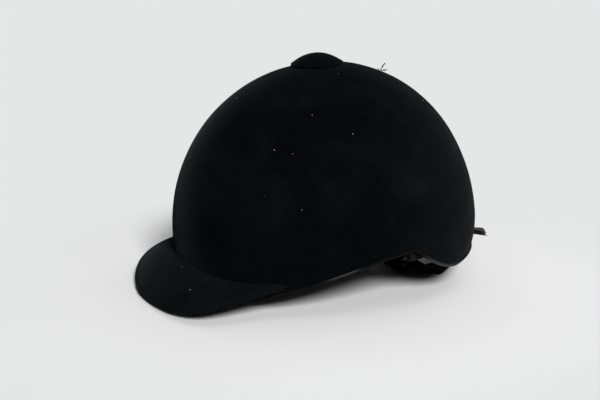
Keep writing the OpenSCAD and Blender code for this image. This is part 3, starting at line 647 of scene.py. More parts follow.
def sheet(name: str, outer: Array, inner: Array, material: Finish, wrap: bool = False) -> Piece:
    """Makes a closed sheet between two grids of points.

    Args:
        name: Name of the piece.
        outer: Points of the outer face, rows x columns x 3, in metres.
        inner: Points of the inner face.
        material: Material of the piece.
        wrap: Whether the last column joins the first.

    Returns:
        The new object, with a UV map in millimetres along its grid.
    """
    rows, cols = outer.shape[:2]
    across, down = np.zeros((2, rows, cols))
    across[:, 1:] = np.cumsum(np.linalg.norm(np.diff(outer, axis=1), axis=2), axis=1)
    down[1:] = np.cumsum(np.linalg.norm(np.diff(outer, axis=0), axis=2), axis=0)
    uv = np.stack([across, down], axis=2).reshape(-1, 2) / MM
    points = np.concatenate([outer.reshape(-1, 3), inner.reshape(-1, 3)])
    return make_mesh(name, points, sheet_faces(rows, cols, wrap), material, np.concatenate([uv, uv]))


def sweep(name: str, sections: Array, material: Finish, wrap: bool = False, sharp: float = SHARP) -> Piece:
    """Makes a solid through sections, each clockwise seen along the path.

    Args:
        name: Name of the piece.
        sections: Stations x corners x 3, in metres.
        material: Material of the piece.
        wrap: Whether the last section joins the first.
        sharp: Angle in degrees over which an edge stays sharp.

    Returns:
        The new object, with u along the path and v round it, in millimetres.
    """
    count, sides = sections.shape[:2]
    along, girth = (
        np.concatenate([[0.0], np.cumsum(np.linalg.norm(np.diff(line, axis=0), axis=1))])
        for line in (sections.mean(axis=1), sections[count // 2])
    )
    uv = np.stack(np.meshgrid(along, girth, indexing="ij"), axis=2).reshape(-1, 2) / MM
    faces = []
    for c in range(count if wrap else count - 1):
        a, b = c * sides, ((c + 1) % count) * sides
        for i in range(sides):
            j = (i + 1) % sides
            faces.append([a + i, a + j, b + j, b + i])
    if not wrap:
        faces.append(list(range(sides))[::-1])
        faces.append([(count - 1) * sides + i for i in range(sides)])
    return make_mesh(name, sections.reshape(-1, 3), faces, material, uv, sharp)


def strip_sections(path: Array, across: Array, up: Array, half: Array | float, thick: float, rim: float) -> Array:
    """Lays the rounded section of a flat strip along a path.

    Args:
        path: Middle line of the strip.
        across: Unit vectors over its width.
        up: Unit vectors out of its upper face.
        half: Half of its width at each point.
        thick: Its thickness.
        rim: Share of the thickness at the very edge.

    Returns:
        Sections for sweep, clockwise seen along the path when up is across
        turned from the path's direction.
    """
    half = np.broadcast_to(half, (len(path),))
    upper = [(x, 0.5 * thick) for x in (0.0, 0.45, 0.8, 0.93)] + [(1.0, 0.5 * thick * rim)]
    right = upper + [(x, -y) for x, y in upper[::-1]]
    ring = [(-x, y) for x, y in right] + [(x, y) for x, y in right[::-1] if x > 0.0]
    return np.stack([path + across * (x * half)[:, None] + up * y for x, y in ring], axis=1)


def side_view(line: Array) -> tuple[Array, Array, Array]:
    """Lays a line drawn in a strap's side view into the strap's own frame.

    Args:
        line: Rows of place along the strap and height.

    Returns:
        The path, and its unit vectors across and up, for strip_sections.
    """
    tangent = unit(np.gradient(line, axis=0))
    flat = 0 * line[:, 0]
    path = np.stack([line[:, 0], flat, line[:, 1]], axis=1)
    return path, np.tile([0.0, 1.0, 0.0], (len(line), 1)), np.stack([-tangent[:, 1], flat, tangent[:, 0]], axis=1)


def smooth_path(stations: Array, steps: int) -> Array:
    """Runs a Catmull-Rom curve through rows of numbers.

    Args:
        stations: Rows of numbers to pass through.
        steps: Pieces between two stations.

    Returns:
        The rows of the finer curve.
    """
    p = np.concatenate([[2 * stations[0] - stations[1]], stations, [2 * stations[-1] - stations[-2]]])
    made = []
    for a, b, c, d in zip(p, p[1:], p[2:], p[3:]):
        square, cube = 2 * a - 5 * b + 4 * c - d, 3 * b - a - 3 * c + d
        made += [0.5 * (2 * b + (c - a) * t + square * t**2 + cube * t**3) for t in np.arange(steps) / steps]
    return np.array(made + [p[-2]])


def unit(v: Array) -> Array:
    """Returns the vectors at length one."""
    return v / np.maximum(np.linalg.norm(v, axis=-1, keepdims=True), 1e-12)


def tilt(points: Array, angle: float) -> Array:
    """Turns points about the x axis by an angle in radians."""
    x, y, z = np.moveaxis(points, -1, 0)
    s, c = math.sin(angle), math.cos(angle)
    return np.stack([x, y * c - z * s, y * s + z * c], axis=-1)


def around(angle: Array, radius: Array, z: Array) -> Array:
    """Returns points at angles round the hat, at a distance and a height."""
    a = np.radians(angle)
    return np.stack([radius * np.sin(a), -radius * np.cos(a), z + 0 * radius], axis=-1)


def place_piece(obj: Piece, body: Body, slot: str, *nodes: str) -> Piece:
    """Makes a piece ride on a body and stand for its nodes."""
    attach(obj, body.value)
    if nodes:
        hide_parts(*nodes)
    log.info("%s: %d faces on %s", obj.name, len(obj.data.polygons), body.value)
    return obj


def declare_cloth(outer: Array) -> None:
    """Measures the two lengths of a stretched sheet's outer face, and keeps neither.

    Args:
        outer: Points of its outer face, rows x columns x 3, in metres.
    """
    a = np.linalg.norm(np.diff(outer, axis=1), axis=2).sum(axis=1).max()
    b = np.linalg.norm(np.diff(outer, axis=0), axis=2).sum(axis=0).max()


# ---------------------------------------------------------- geometry node trees


class InstanceTree(GroupTree):
    """Geometry Nodes that put one small shape on many points."""

    def __init__(self, name: str, sizes: dict[str, float], seed: int) -> None:
        """Makes the tree with its named inputs.

        Args:
            name: Name of the tree.
            sizes: Names of its sizes, with their defaults.
            seed: Default seed of whatever is random.
        """
        inputs = {"Geometry": (GEOMETRY, None)} | {key: (FLOAT, value) for key, value in sizes.items()}
        inputs |= {"Seed": ("NodeSocketInt", seed), "Material": ("NodeSocketMaterial", None)}
        super().__init__(name, inputs, {"Geometry": GEOMETRY}, "GeometryNodeTree")

    def lay(self, points: Socket, shape: Node, turn: Node, least: Any, most: Any) -> None:
        """Lays the shape on every point as real geometry, each at a size of its own.

        Args:
            points: The points.
            shape: Node that gives the shape.
            turn: Node that gives each shape's rotation.
            least: Least size, as a factor.
            most: Greatest size.
        """
        size = self.add(
            "FunctionNodeRandomValue", {2: least, 3: most, "Seed": self.given["Seed"]}, data_type="FLOAT"
        ).outputs[1]
        laid = self.add(
            "GeometryNodeInstanceOnPoints",
            {"Points": points, "Instance": shape.outputs[0], "Rotation": turn.outputs[0], "Scale": size},
        )
        real = self.add("GeometryNodeRealizeInstances", {0: laid.outputs[0]})
        done = self.add("GeometryNodeSetMaterial", {"Geometry": real.outputs[0], "Material": self.given["Material"]})
        self.send(Geometry=done.outputs[0])

    def bake(self, name: str, host: Piece, values: dict[str, Any]) -> Piece:
        """Runs the tree on a host and keeps the plain mesh.

        Args:
            name: Name of the new piece.
            host: Object that the tree works on; it is removed.
            values: Input name to value.

        Returns:
            The new object.
        """
        modifier = host.modifiers.new("tree", "NODES")
        modifier.node_group = self.tree
        for key, value in values.items():
            modifier[self.sockets[key]] = value
        graph = bpy.context.evaluated_depsgraph_get()
        mesh = bpy.data.meshes.new_from_object(host.evaluated_get(graph))
        mesh.name = name
        if not mesh.materials:
            mesh.materials.append(values["Material"])
        mesh.shade_smooth()
        bpy.data.objects.remove(host)
        return add_object(name, mesh)


@dataclass(frozen=True)
class Stitch:
    """One kind of stitch, in millimetres."""

    pitch: float
    length: float
    radius: float


class StitchTree(InstanceTree):
    """Geometry Nodes that sew a run of stitches along a polyline."""

    def __init__(self) -> None:
        """Builds the tree with its named inputs."""
        sizes = {"Pitch": 0.003, "Stitch Length": 0.0022, "Thread Radius": 0.0003, "Unevenness": 0.08}
        super().__init__("sew_stitches", sizes, 7)
        given = self.given
        curve = self.add("GeometryNodeMeshToCurve", {0: given["Geometry"]})
        points = self.add(
            "GeometryNodeCurveToPoints", {"Curve": curve.outputs[0], "Length": given["Pitch"]}, mode="LENGTH"
        ).outputs
        ball = self.add("GeometryNodeMeshUVSphere", {"Segments": 8, "Rings": 6, "Radius": 1.0})
        radius = given["Thread Radius"]
        size = self.add("ShaderNodeCombineXYZ", {0: self.times(given["Stitch Length"], 0.5), 1: radius, 2: radius})
        stitch = self.add("GeometryNodeTransform", {"Geometry": ball.outputs["Mesh"], "Scale": size.outputs[0]})
        turn = self.add("FunctionNodeAlignRotationToVector", {"Vector": points["Tangent"]}, axis="X")
        least, most = (self.math(way, 1.0, given["Unevenness"]) for way in ("SUBTRACT", "ADD"))
        self.lay(points["Points"], stitch, turn, least, most)

    def sew(
        self, name: str, lines: Sequence[Array], stitch: Stitch, material: Finish, closed: bool = False
    ) -> Piece:
        """Sews stitches along lines.

        Args:
            name: Name of the piece.
            lines: Polylines in metres.
            stitch: Kind of stitch.
            material: Thread's material.
            closed: Whether each line joins its own start.

        Returns:
            One plain mesh object with every stitch.
        """
        points, edges = [], []
        for line in lines:
            base = len(points)
            points += line.tolist()
            edges += [(base + i, base + i + 1) for i in range(len(line) - 1)]
            if closed:
                edges.append((base + len(line) - 1, base))
        mesh = bpy.data.meshes.new(name + "_path")
        mesh.from_pydata(points, edges, [])
        values = {
            "Pitch": stitch.pitch * MM,
            "Stitch Length": stitch.length * MM,
            "Thread Radius": stitch.radius * MM,
            "Material": material,
        }
        return self.bake(name, add_object(mesh.name, mesh), values)


class LintTree(InstanceTree):
    """Geometry Nodes that scatter short bent fibres on a cloth surface."""

    def __init__(self) -> None:
        """Builds the tree with its named inputs."""
        super().__init__("scatter_lint", {"Density": 900.0, "Fibre Length": 0.0016, "Fibre Radius": 0.00008}, 11)
        given = self.given
        length, seed = given["Fibre Length"], {"Seed": given["Seed"]}
        place = {"Mesh": given["Geometry"], "Density": given["Density"]}
        spots = self.add("GeometryNodeDistributePointsOnFaces", place | seed).outputs
        arc = self.add("GeometryNodeCurveArc", {"Resolution": 5, "Radius": length, "Sweep Angle": 1.4})
        ring = self.add("GeometryNodeCurvePrimitiveCircle", {"Resolution": 4, "Radius": given["Fibre Radius"]})
        fibre = self.add(
            "GeometryNodeCurveToMesh", {"Curve": arc.outputs[0], "Profile Curve": ring.outputs[0], "Fill Caps": True}
        )
        centre = self.add("ShaderNodeVectorMath", {0: (-1.0, 0.0, 0.0), "Scale": length}, operation="SCALE")
        moved = self.add("GeometryNodeTransform", {"Geometry": fibre.outputs[0], "Translation": centre.outputs[0]})
        lean = {0: (0.0, 0.0, 0.0), 1: (0.3, 0.3, 6.283)}
        spin = self.add("FunctionNodeRandomValue", lean | seed, data_type="FLOAT_VECTOR")
        turn = self.add(
            "FunctionNodeRotateRotation", {0: spots["Rotation"], 1: spin.outputs[0]}, rotation_space="LOCAL"
        )
        self.lay(spots["Points"], moved, turn, 0.4, 1.3)

    def scatter(self, name: str, host: Piece, material: Finish, density: float, length: float, radius: float) -> Piece:
        """Scatters fibres over a host surface.

        Args:
            name: Name of the piece.
            host: Surface that the fibres lie on; it is removed.
            material: Material of the fibres.
            density: Fibres in a square metre.
            length: Radius of a fibre's bend in millimetres, which also sets its length.
            radius: Radius of a fibre.

        Returns:
            One plain mesh object with every fibre.
        """
        values = {"Density": density, "Fibre Length": length * MM, "Fibre Radius": radius * MM, "Material": material}
        return self.bake(name, host, values)


# -------------------------------------------------------------------- the crown


@dataclass(frozen=True)
class HatForm:
    """Form of the crown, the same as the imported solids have."""

    half_width: float = 105.0
    front: float = 130.0
    back: float = 127.0
    height: float = 138.0
    squareness: float = 2.2
    front_power: float = 2.03
    back_power: float = 2.11
    nape_tuck: float = 6.0
    forehead_drop: float = 17.0
    temple_drop: float = 20.0
    temple_angle: float = 30.0
    ear_drop: float = 1.0
    ear_angle: float = 98.0
    ear_corner: float = 108.5
    nape_drop: float = 30.0
    nape_angle: float = 137.0
    button_back: float = 10.0
    lean: float = 8.0
    lift: float = 44.037537
    shift: float = 5.448459

    def plan_radius(self, angle: Array, depth: Array | float = 0.0) -> Array:
        """Returns the widest line's radius at an angle, depth under the outside."""
        s, c = np.abs(np.sin(np.radians(angle))), np.cos(np.radians(angle))
        length = np.where(c > 0, self.front, self.back) - depth
        n = self.squareness
        return ((s / (self.half_width - depth)) ** n + (np.abs(c) / length) ** n) ** (-1 / n)

    def dome(self, angle: Array, share: Array, depth: Array | float = 0.0) -> Array:
        """Returns points of the dome from the button (0) to the widest line (1)."""
        edge = self.plan_radius(angle, depth)
        x = edge * np.sin(np.radians(angle)) * share
        y = -edge * np.cos(np.radians(angle)) * share + self.button_back * (1 - share)
        a = np.degrees(np.arctan2(np.abs(x), -y))
        part = np.minimum(1.0, np.hypot(x, y) / self.plan_radius(a, depth))
        power = self.back_power + (self.front_power - self.back_power) * (1 + np.cos(np.radians(a))) / 2
        z = (self.height - depth) * np.maximum(0.0, 1 - part**power) ** (1 / power)
        return np.stack([x, y, z], axis=-1)

    def tuck(self, angle: Array, z: Array) -> Array:
        """Returns how far the skirt draws in towards the nape edge."""
        return self.nape_tuck * ((1 - np.cos(np.radians(angle))) / 2) ** 1.5 * (z / self.nape_drop) ** 2

    def skirt(self, angle: Array, z: Array, depth: Array | float = 0.0) -> Array:
        """Returns points of the skirt under the widest line."""
        return around(angle, self.plan_radius(angle, depth) - self.tuck(angle, z), z)

    def edge_z(self, angle: Array) -> Array:
        """Returns the height of the crown's lower edge at an angle."""
        a = np.abs((np.asarray(angle, float) + 180) % 360 - 180)
        turn = np.sin(np.radians(90 * np.minimum(a / self.temple_angle, 1)))
        front = -self.forehead_drop - (self.temple_drop - self.forehead_drop) * turn
        rise = np.clip(1 - (a - self.temple_angle) / (self.ear_angle - self.temple_angle), 0, 1)
        side = -self.ear_drop - (self.temple_drop - self.ear_drop) * rise**1.2
        fall = np.clip((a - self.ear_corner) / (self.nape_angle - self.ear_corner), 0, 1)
        rear = -self.ear_drop - (self.nape_drop - self.ear_drop) * np.sin(np.radians(90 * fall))
        return np.where(a < self.temple_angle, front, np.where(a < self.ear_angle, side, rear))

    def surface(self, angle: Array, rows: Array, depth: Array, reach: float = 1.0) -> Array:
        """Returns a grid of points.

        Args:
            angle: Columns' angles.
            rows: Rows from the button down: 0..1 on the dome, 1..2 on the skirt.
            depth: Depth under the outside, rows x columns or a number.
            reach: Share of the edge's drop that the last row follows.

        Returns:
            Rows x columns x 3 points in millimetres in the hat's frame.
        """
        grid_a, grid_r = np.meshgrid(angle, rows)
        depth = np.broadcast_to(depth, grid_a.shape)
        dome = self.dome(grid_a, np.minimum(grid_r, 1.0), depth)
        skirt = self.skirt(grid_a, self.edge_z(grid_a) * reach * (grid_r - 1.0), depth)
        return np.where((grid_r <= 1.0)[..., None], dome, skirt)

    def world(self, points: Array) -> Array:
        """Turns points of the hat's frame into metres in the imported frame."""
        return (tilt(points, math.radians(self.lean)) + [0.0, self.shift, self.lift]) * MM


def dome_rows(first: float, last: float = 1.0, count: int = 46) -> Array:
    """Returns dome rows spaced evenly along the curve, first to last."""
    evenness = 0.97
    low, high = (math.degrees(math.asin(min(1.0, share ** (1 / evenness)))) for share in (first, last))
    return np.sin(np.radians(np.linspace(low, high, count))) ** evenness


@dataclass
class VelvetCrown:
    """The six velvet panels over the shell, with their seams and lint."""

    form: HatForm
    cloth: float = 1.4
    seam_angles: tuple[float, float, float] = (45.0, 104.0, 148.5)
    groove_depths: tuple[float, float, float] = (0.30, 0.26, 0.10)
    groove_width: float = 1.1
    groove_fades_at: float = 90.0
    thinnest: float = 0.35
    pull: float = 0.07
    pull_reach: float = 14.0
    unevenness: float = 0.12
    edge_roll: float = 0.5
    edge_reach: float = 1.3
    ring: float = 0.04
    columns: int = 44
    specks: tuple[tuple[float, float, float], ...] = (
        (1.0, -62.0, 122.0),
        (47.0, -16.0, 123.0),
        (63.0, -22.0, 110.0),
        (68.0, -57.0, 91.0),
        (79.0, 3.0, 93.0),
        (80.0, 56.0, 73.0),
        (93.0, -50.0, 48.0),
        (60.3, -137.0, -4.5),
        (25.8, -133.5, 2.9),
    )
    speck_corners: int = 7
    speck_size: tuple[float, float] = (0.28, 0.5)
    speck_outline: tuple[float, float] = (0.6, 1.3)
    speck_height: float = 1.2
    speck_root: float = 0.5
    lint_density: float = 420.0
    lint_bend: float = 0.6
    lint_radius: float = 0.045
    loose_radius: float = 0.32
    tuft: tuple[float, float, float] = (15.0, 58.3, 123.6)
    tuft_ends: tuple[tuple[float, float, float], ...] = (
        (-1.5, 5.6, 5.4),
        (-1.2, 5.9, 5.0),
        (-0.6, 3.6, 3.0),
        (0.2, 6.4, 0.0),
        (0.4, 4.6, -0.6),
        (-0.8, -1.4, 2.6),
    )

    def seam_depth(self, angle: float) -> float:
        """Returns how deep the velvet is drawn in at the seam at an angle."""
        folded = min(angle % 360, 360 - angle % 360)
        return self.groove_depths[self.seam_angles.index(folded)]

    def panel(self, name: str, start: float, end: float, material: Finish) -> Piece:
        """Makes one panel, rolled down into its two seams.

        Args:
            name: Name of the node it stands for.
            start: Angle of its first seam.
            end: Angle of its second seam.
            material: Velvet.

        Returns:
            The panel's object.
        """
        t = (1 - np.cos(np.pi * np.linspace(0, 1, self.columns))) / 2
        angle = start + (end - start) * t
        rows = np.concatenate([dome_rows(self.ring), 1 + np.linspace(0, 1, 16)[1:]])
        x, y, z = np.moveaxis(self.form.surface(angle, rows, 0.0), -1, 0)
        radius = np.hypot(x, y - self.form.button_back * np.maximum(0, 1 - rows[:, None]))
        gap = np.radians(np.minimum(angle - start, end - angle))[None, :] * radius
        fade = np.clip(radius / self.groove_fades_at, 0.12, 1.0)
        deep = np.where(angle - start < end - angle, self.seam_depth(start), self.seam_depth(end))
        groove = deep[None, :] * fade * np.exp(-((gap / self.groove_width) ** 2))
        pull = self.pull * np.sin(0.55 * gap + 0.11 * z) * np.exp(-gap / self.pull_reach)
        soft = self.unevenness * np.sin(x * 0.09 + 1.3) * np.sin(y * 0.07) * np.sin(z * 0.08 + 0.5)
        low = np.where(rows[:, None] > 1.0, z - self.form.edge_z(angle)[None, :], np.inf)
        roll = self.edge_roll * np.exp(-((low / self.edge_reach) ** 2))
        depth = np.clip(groove + pull + soft + roll, -0.1, self.cloth - self.thinnest)
        outer, inner = (self.form.world(self.form.surface(angle, rows, d)) for d in (depth, self.cloth))
        piece = sheet(name.replace("velvet_", "cover_"), outer, inner, material)
        declare_cloth(outer)
        return piece

    def build(self, finish: Finishes, lint: LintTree) -> None:
        """Builds the panels and what lies on them."""
        a, b, c = self.seam_angles
        spans = {
            "velvet_front_panel": (-a, a),
            "velvet_side_panel_left": (a, b),
            "velvet_ear_panel_left": (b, c),
            "velvet_rear_panel": (c, 360 - c),
            "velvet_ear_panel_right": (360 - c, 360 - b),
            "velvet_side_panel_right": (360 - b, 360 - a),
        }
        for name, (start, end) in spans.items():
            place_piece(self.panel(name, start, end, finish.velvet), Body.HELMET, "velvet", name)
        self.litter(finish, lint)

    def litter(self, finish: Finishes, lint: LintTree) -> None:
        """Scatters fine lint over the crown, and sets the larger specks and the loose threads.

        Args:
            finish: The materials.
            lint: The tree that scatters the lint.
        """
        angle = np.linspace(0, 355, 72)
        rows = np.concatenate([dome_rows(0.2, count=24), [1.3, 1.7, 1.95]])
        outer = self.form.world(self.form.surface(angle, rows, -0.15))
        faces = grid_faces(len(rows), len(angle), wrap=True)
        host = make_mesh("lint_host", outer.reshape(-1, 3), faces, finish.lint)
        sizes = self.lint_density, self.lint_bend, self.lint_radius
        fine = lint.scatter("velvet_lint", host, finish.lint, *sizes)
        place_piece(fine, Body.HELMET, "velvet")
        place_piece(self.speck_mesh(finish), Body.HELMET, "velvet")
        root = np.array(self.tuft)
        loose = [[root - [0, 0, 0.5], root + e * 0.5 + [0.0, -0.3, 0.5], root + e] for e in np.array(self.tuft_ends)]
        lines = [self.form.world(np.array(line)) for line in loose]
        place_piece(fibres("velvet_loose_threads", lines, self.loose_radius, finish.loose), Body.HELMET, "velvet")

    def speck_mesh(self, finish: Finishes) -> Piece:
        """Makes the larger specks, each a small uneven double cone, as one piece."""
        rng = np.random.default_rng(5)
        n = self.speck_corners
        points, faces = [], []
        for speck in self.specks:
            p = self.form.world(np.array(speck))
            out = unit(p - np.array([0.0, 0.01, 0.05])) if speck[2] > 10 else np.array([0.0, -0.2, 0.98])
            size = rng.uniform(*self.speck_size) * MM
            base = len(points)
            side = unit(np.cross(out, [0.3, 0.2, 1.0]))
            top = np.cross(out, side)
            for k in range(n):
                t = k * 2 * math.pi / n
                r = size * rng.uniform(*self.speck_outline)
                points.append(p + (side * math.cos(t) + top * math.sin(t)) * r + out * 0.15 * MM)
                following = base + (k + 1) % n
                faces += [[base + k, following, base + n], [following, base + k, base + n + 1]]
            points += [p + out * size * self.speck_height, p - out * size * self.speck_root]
        return make_mesh("velvet_specks", np.array(points), faces, finish.lint)


@dataclass
class EdgeBinding:
    """Ribbon rolled round the crown's lower edge, sewn on with a fine stitch."""

    form: HatForm
    inner_reach: float = 4.7
    proud: float = 0.5
    height: float = 2.8
    pucker: float = 0.06
    stitch: Stitch = Stitch(2.6, 1.7, 0.16)

    def section(self) -> Array:
        """Returns the closed section: inward offset and height, millimetres."""
        w, p, h = self.inner_reach, self.proud, self.height
        outer = [[0.35, -0.2], [-0.2, -0.3], [-p, -0.35 * h], [-0.35, -0.62 * h], [0.2, -0.85 * h]]
        outer.append([w * 0.25, -0.98 * h])
        return np.array(outer + [[w / 2, -h]] + [[w - x, z] for x, z in outer[::-1]])

    def build(self, finish: Finishes, stitches: StitchTree) -> None:
        """Builds the ribbon and its stitching."""
        corner = [self.form.ear_corner, 360 - self.form.ear_corner]
        angle = np.unique(np.concatenate([np.arange(0, 360, 1.5), corner]))
        base = self.form.edge_z(angle)
        reach = self.form.plan_radius(angle) - self.form.tuck(angle, base)
        rows = []
        for inset, drop in self.section():
            pucker = self.pucker * np.sin(angle * 9.0) * (drop < -0.5)
            rows.append(around(angle, reach - inset + pucker, base + drop))
        sections = self.form.world(np.stack(rows, axis=1))
        piece = sweep("rim_ribbon", sections, finish.binding, wrap=True, sharp=60.0)
        place_piece(piece, Body.HELMET, "satin", "edge_binding")
        fine = np.arange(0, 360, 1.0)
        z = self.form.edge_z(fine)
        ring = self.form.skirt(fine, z, -self.proud + 0.12)
        ring[:, 2] = z - 0.62 * self.height
        sewn = stitches.sew("rim_stitches", [self.form.world(ring)], self.stitch, finish.thread, closed=True)
        place_piece(sewn, Body.HELMET, "satin")


@dataclass
class Button:
    """Velvet-covered button on the crown's top, a lens gathered underneath."""

    form: HatForm
    radius: float = 21.5
    height: float = 7.8
    tilt: float = 4.9
    gap: float = 0.65
    curve: float = 118.0
    cloth: float = 1.2
    hem: float = 6.0
    fullness: float = 0.9
    loft: float = 0.4
    lining_share: float = 0.9
    pole: float = 89.3
    shoulder: float = 45.5
    inner_shoulder: float = 49.0
    sag: float = 0.1
    pleats: int = 30
    columns: int = 144

    def world(self, points: Array) -> Array:
        """Turns points of the button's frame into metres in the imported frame."""
        top = self.form.dome(np.array(0.0), np.array(0.0))[2]
        return self.form.world(tilt(points, -math.radians(self.tilt)) + [0.0, self.form.button_back, top])

    def under(self, r: Array | float) -> Array | float:
        """Returns the height of the button's underside over the crown."""
        return self.gap - r * r / (2 * self.curve)

    def profile(self) -> Array:
        """Returns radius, height and pleating from the top round to the inside."""
        rim = self.radius
        cap = rim * math.sqrt(2)

        def arc(radius: float, first: float, last: float, count: int) -> Array:
            """Returns an arc of the lens over the cap's middle."""
            t = np.radians(np.linspace(first, last, count))
            return np.stack([radius * np.cos(t), self.height - cap + radius * np.sin(t), 0 * t], axis=1)

        over = arc(cap, self.pole, self.shoulder, 30)
        over[-6:, 2] = np.linspace(0.0, 0.12, 6)
        over[:, 1] += self.loft + self.fullness * (over[:, 0] / rim) ** 8
        turned = [[rim - 0.05, self.under(rim) + 0.1, 0.12], [rim - 0.4, self.under(rim), 0.14]]
        turned += [[r, self.under(r), 0.16] for r in np.linspace(rim - 1.5, rim - self.hem, 5)]
        turned += [[rim - self.hem, self.under(rim - self.hem) + self.cloth * 0.8, 0.1]]
        inside = arc(cap - self.cloth * self.lining_share, self.inner_shoulder, self.pole, 20)
        return np.concatenate([over, turned, inside])

    def build(self, finish: Finishes) -> None:
        """Builds the cover with its gathered hem."""
        shape = self.profile()
        turn = np.radians(np.arange(self.columns) * 360.0 / self.columns)
        r = np.broadcast_to(shape[:, 0, None], (len(shape), self.columns))
        pleat = np.sin(turn * self.pleats)[None, :] * shape[:, 2, None]
        sag = self.sag * np.sin(turn * 3 + 0.7)[None, :] * np.exp(-(((r - 14) / 6) ** 2))
        rings = np.stack([r * np.cos(turn), r * np.sin(turn), shape[:, 1, None] + pleat * 0.5 + sag], axis=-1)
        rows = len(shape)
        tips = np.array([[0.0, 0.0, self.height], [0.0, 0.0, self.height - self.cloth * self.lining_share]])
        points = np.concatenate([self.world(rings).reshape(-1, 3), self.world(tips)])
        faces = grid_faces(rows, self.columns, wrap=True)
        low, top = (rows - 1) * self.columns, rows * self.columns
        for c in range(self.columns):
            d = (c + 1) % self.columns
            faces.append([c, d, top])
            faces.append([low + d, low + c, top + 1])
        piece = make_mesh("button_velvet", points, faces, finish.velvet, sharp=75.0)
        place_piece(piece, Body.HELMET, "velvet", "button_cover")


@dataclass
class Peak:
    """Velvet peak with its cloth underside and rolled edge."""

    form: HatForm
    half_width: float = 94.0
    corner: float = 72.0
    length: float = 95.0
    tip_z: float = -18.3
    edge_rise: float = 9.2
    root_z: float = 5.0
    corner_z: float = -6.4
    angle: float = 51.0
    bulge: float = 4.0
    velvet: float = 1.4
    core: float = 2.8
    lining: float = 0.8
    glue: float = 0.2
    binding: float = 2.4
    unevenness: float = 0.1
    stitch: Stitch = Stitch(3.4, 2.6, 0.22)
    stitch_share: float = 0.94
    stitch_end: float = 11.7
    steps: int = 12

    def edge(self, k: Array, inset: float = 0.0) -> Array:
        """Returns the middle of the edge at station k, from -12 to 12."""
        t = np.radians(90 * np.sign(k) * (1 - (1 - np.abs(k) / self.steps) ** 2.2))
        rise = 1 - np.cos(t)
        return np.stack(
            [
                (self.half_width - inset) * np.sign(t) * np.abs(np.sin(t)) ** 1.28,
                -self.corner - (self.length - inset) * np.maximum(0, np.cos(t)) ** 0.4,
                self.tip_z + self.edge_rise * (0.62 * rise + 0.38 * rise * rise),
            ],
            axis=-1,
        )

    @property
    def half_depth(self) -> float:
        """Half of the edge's thickness."""
        return (self.velvet + self.core + self.lining + 2 * self.glue) / 2

    def layer(self, depth: float, k: Array, share: Array, puff: float = 0.0) -> Array:
        """Returns a layer's grid, depth under the peak's top."""
        kk, ss = np.meshgrid(k, share)
        a = self.angle * kk / self.steps
        root_z = self.root_z + (self.corner_z - self.root_z) * np.sin(np.radians(90 * np.abs(kk) / self.steps)) ** 2
        root = around(a, self.form.plan_radius(a, -2 * self.glue), root_z)
        rim = self.edge(kk, self.binding + self.glue) + np.array([0, 0, self.half_depth])
        bulge = self.bulge * 4 * ss * (1 - ss) * np.cos(np.radians(90 * kk / self.steps)) ** 2
        points = root * (1 - ss[..., None]) + rim * ss[..., None]
        points[..., 2] += bulge - depth + puff * 4 * ss * (1 - ss)
        return points

    def build(self, finish: Finishes, stitches: StitchTree) -> None:
        """Builds cover, lining, rolled edge and the lining's stitching."""
        world = self.form.world
        k = np.linspace(-self.steps, self.steps, 193)
        share = np.linspace(0, 1, 26)
        top = self.layer(0.0, k, share)
        kk, ss = np.meshgrid(k, share)
        top[..., 2] += self.unevenness * np.sin(kk * 1.7 + 0.4) * np.sin(ss * 5.0) * np.sin(np.pi * ss)
        cover = sheet("peak_velvet_top", world(top), world(self.layer(self.velvet, k, share)), finish.peak_velvet)
        place_piece(cover, Body.HELMET, "velvet", "peak_cover")
        declare_cloth(world(top))
        under = self.velvet + self.core + 2 * self.glue
        upper = world(self.layer(under, k, share))
        lower = world(self.layer(under + self.lining, k, share, 0.1))
        lining = sheet("peak_under_cloth", upper, lower, finish.twill)
        place_piece(lining, Body.HELMET, "peak_cloth", "peak_lining")
        declare_cloth(upper)
        t = np.radians(np.linspace(0, 180, 13))
        ring = []
        for s, c in zip(np.sin(t), np.cos(t)):
            p = self.edge(k, self.binding * (1 - s))
            p[:, 2] += self.half_depth * c
            ring.append(p)
        roll = sweep("peak_rolled_edge", world(np.stack(ring, axis=1)), finish.peak_velvet, sharp=70.0)
        place_piece(roll, Body.HELMET, "velvet", "peak_edge_binding")
        along = np.linspace(-self.stitch_end, self.stitch_end, 120)
        line = self.layer(under + self.lining + 0.05, along, np.array([self.stitch_share]))[0]
        sewn = stitches.sew("peak_stitches", [world(line)], self.stitch, finish.thread)
        place_piece(sewn, Body.HELMET, "peak_cloth")


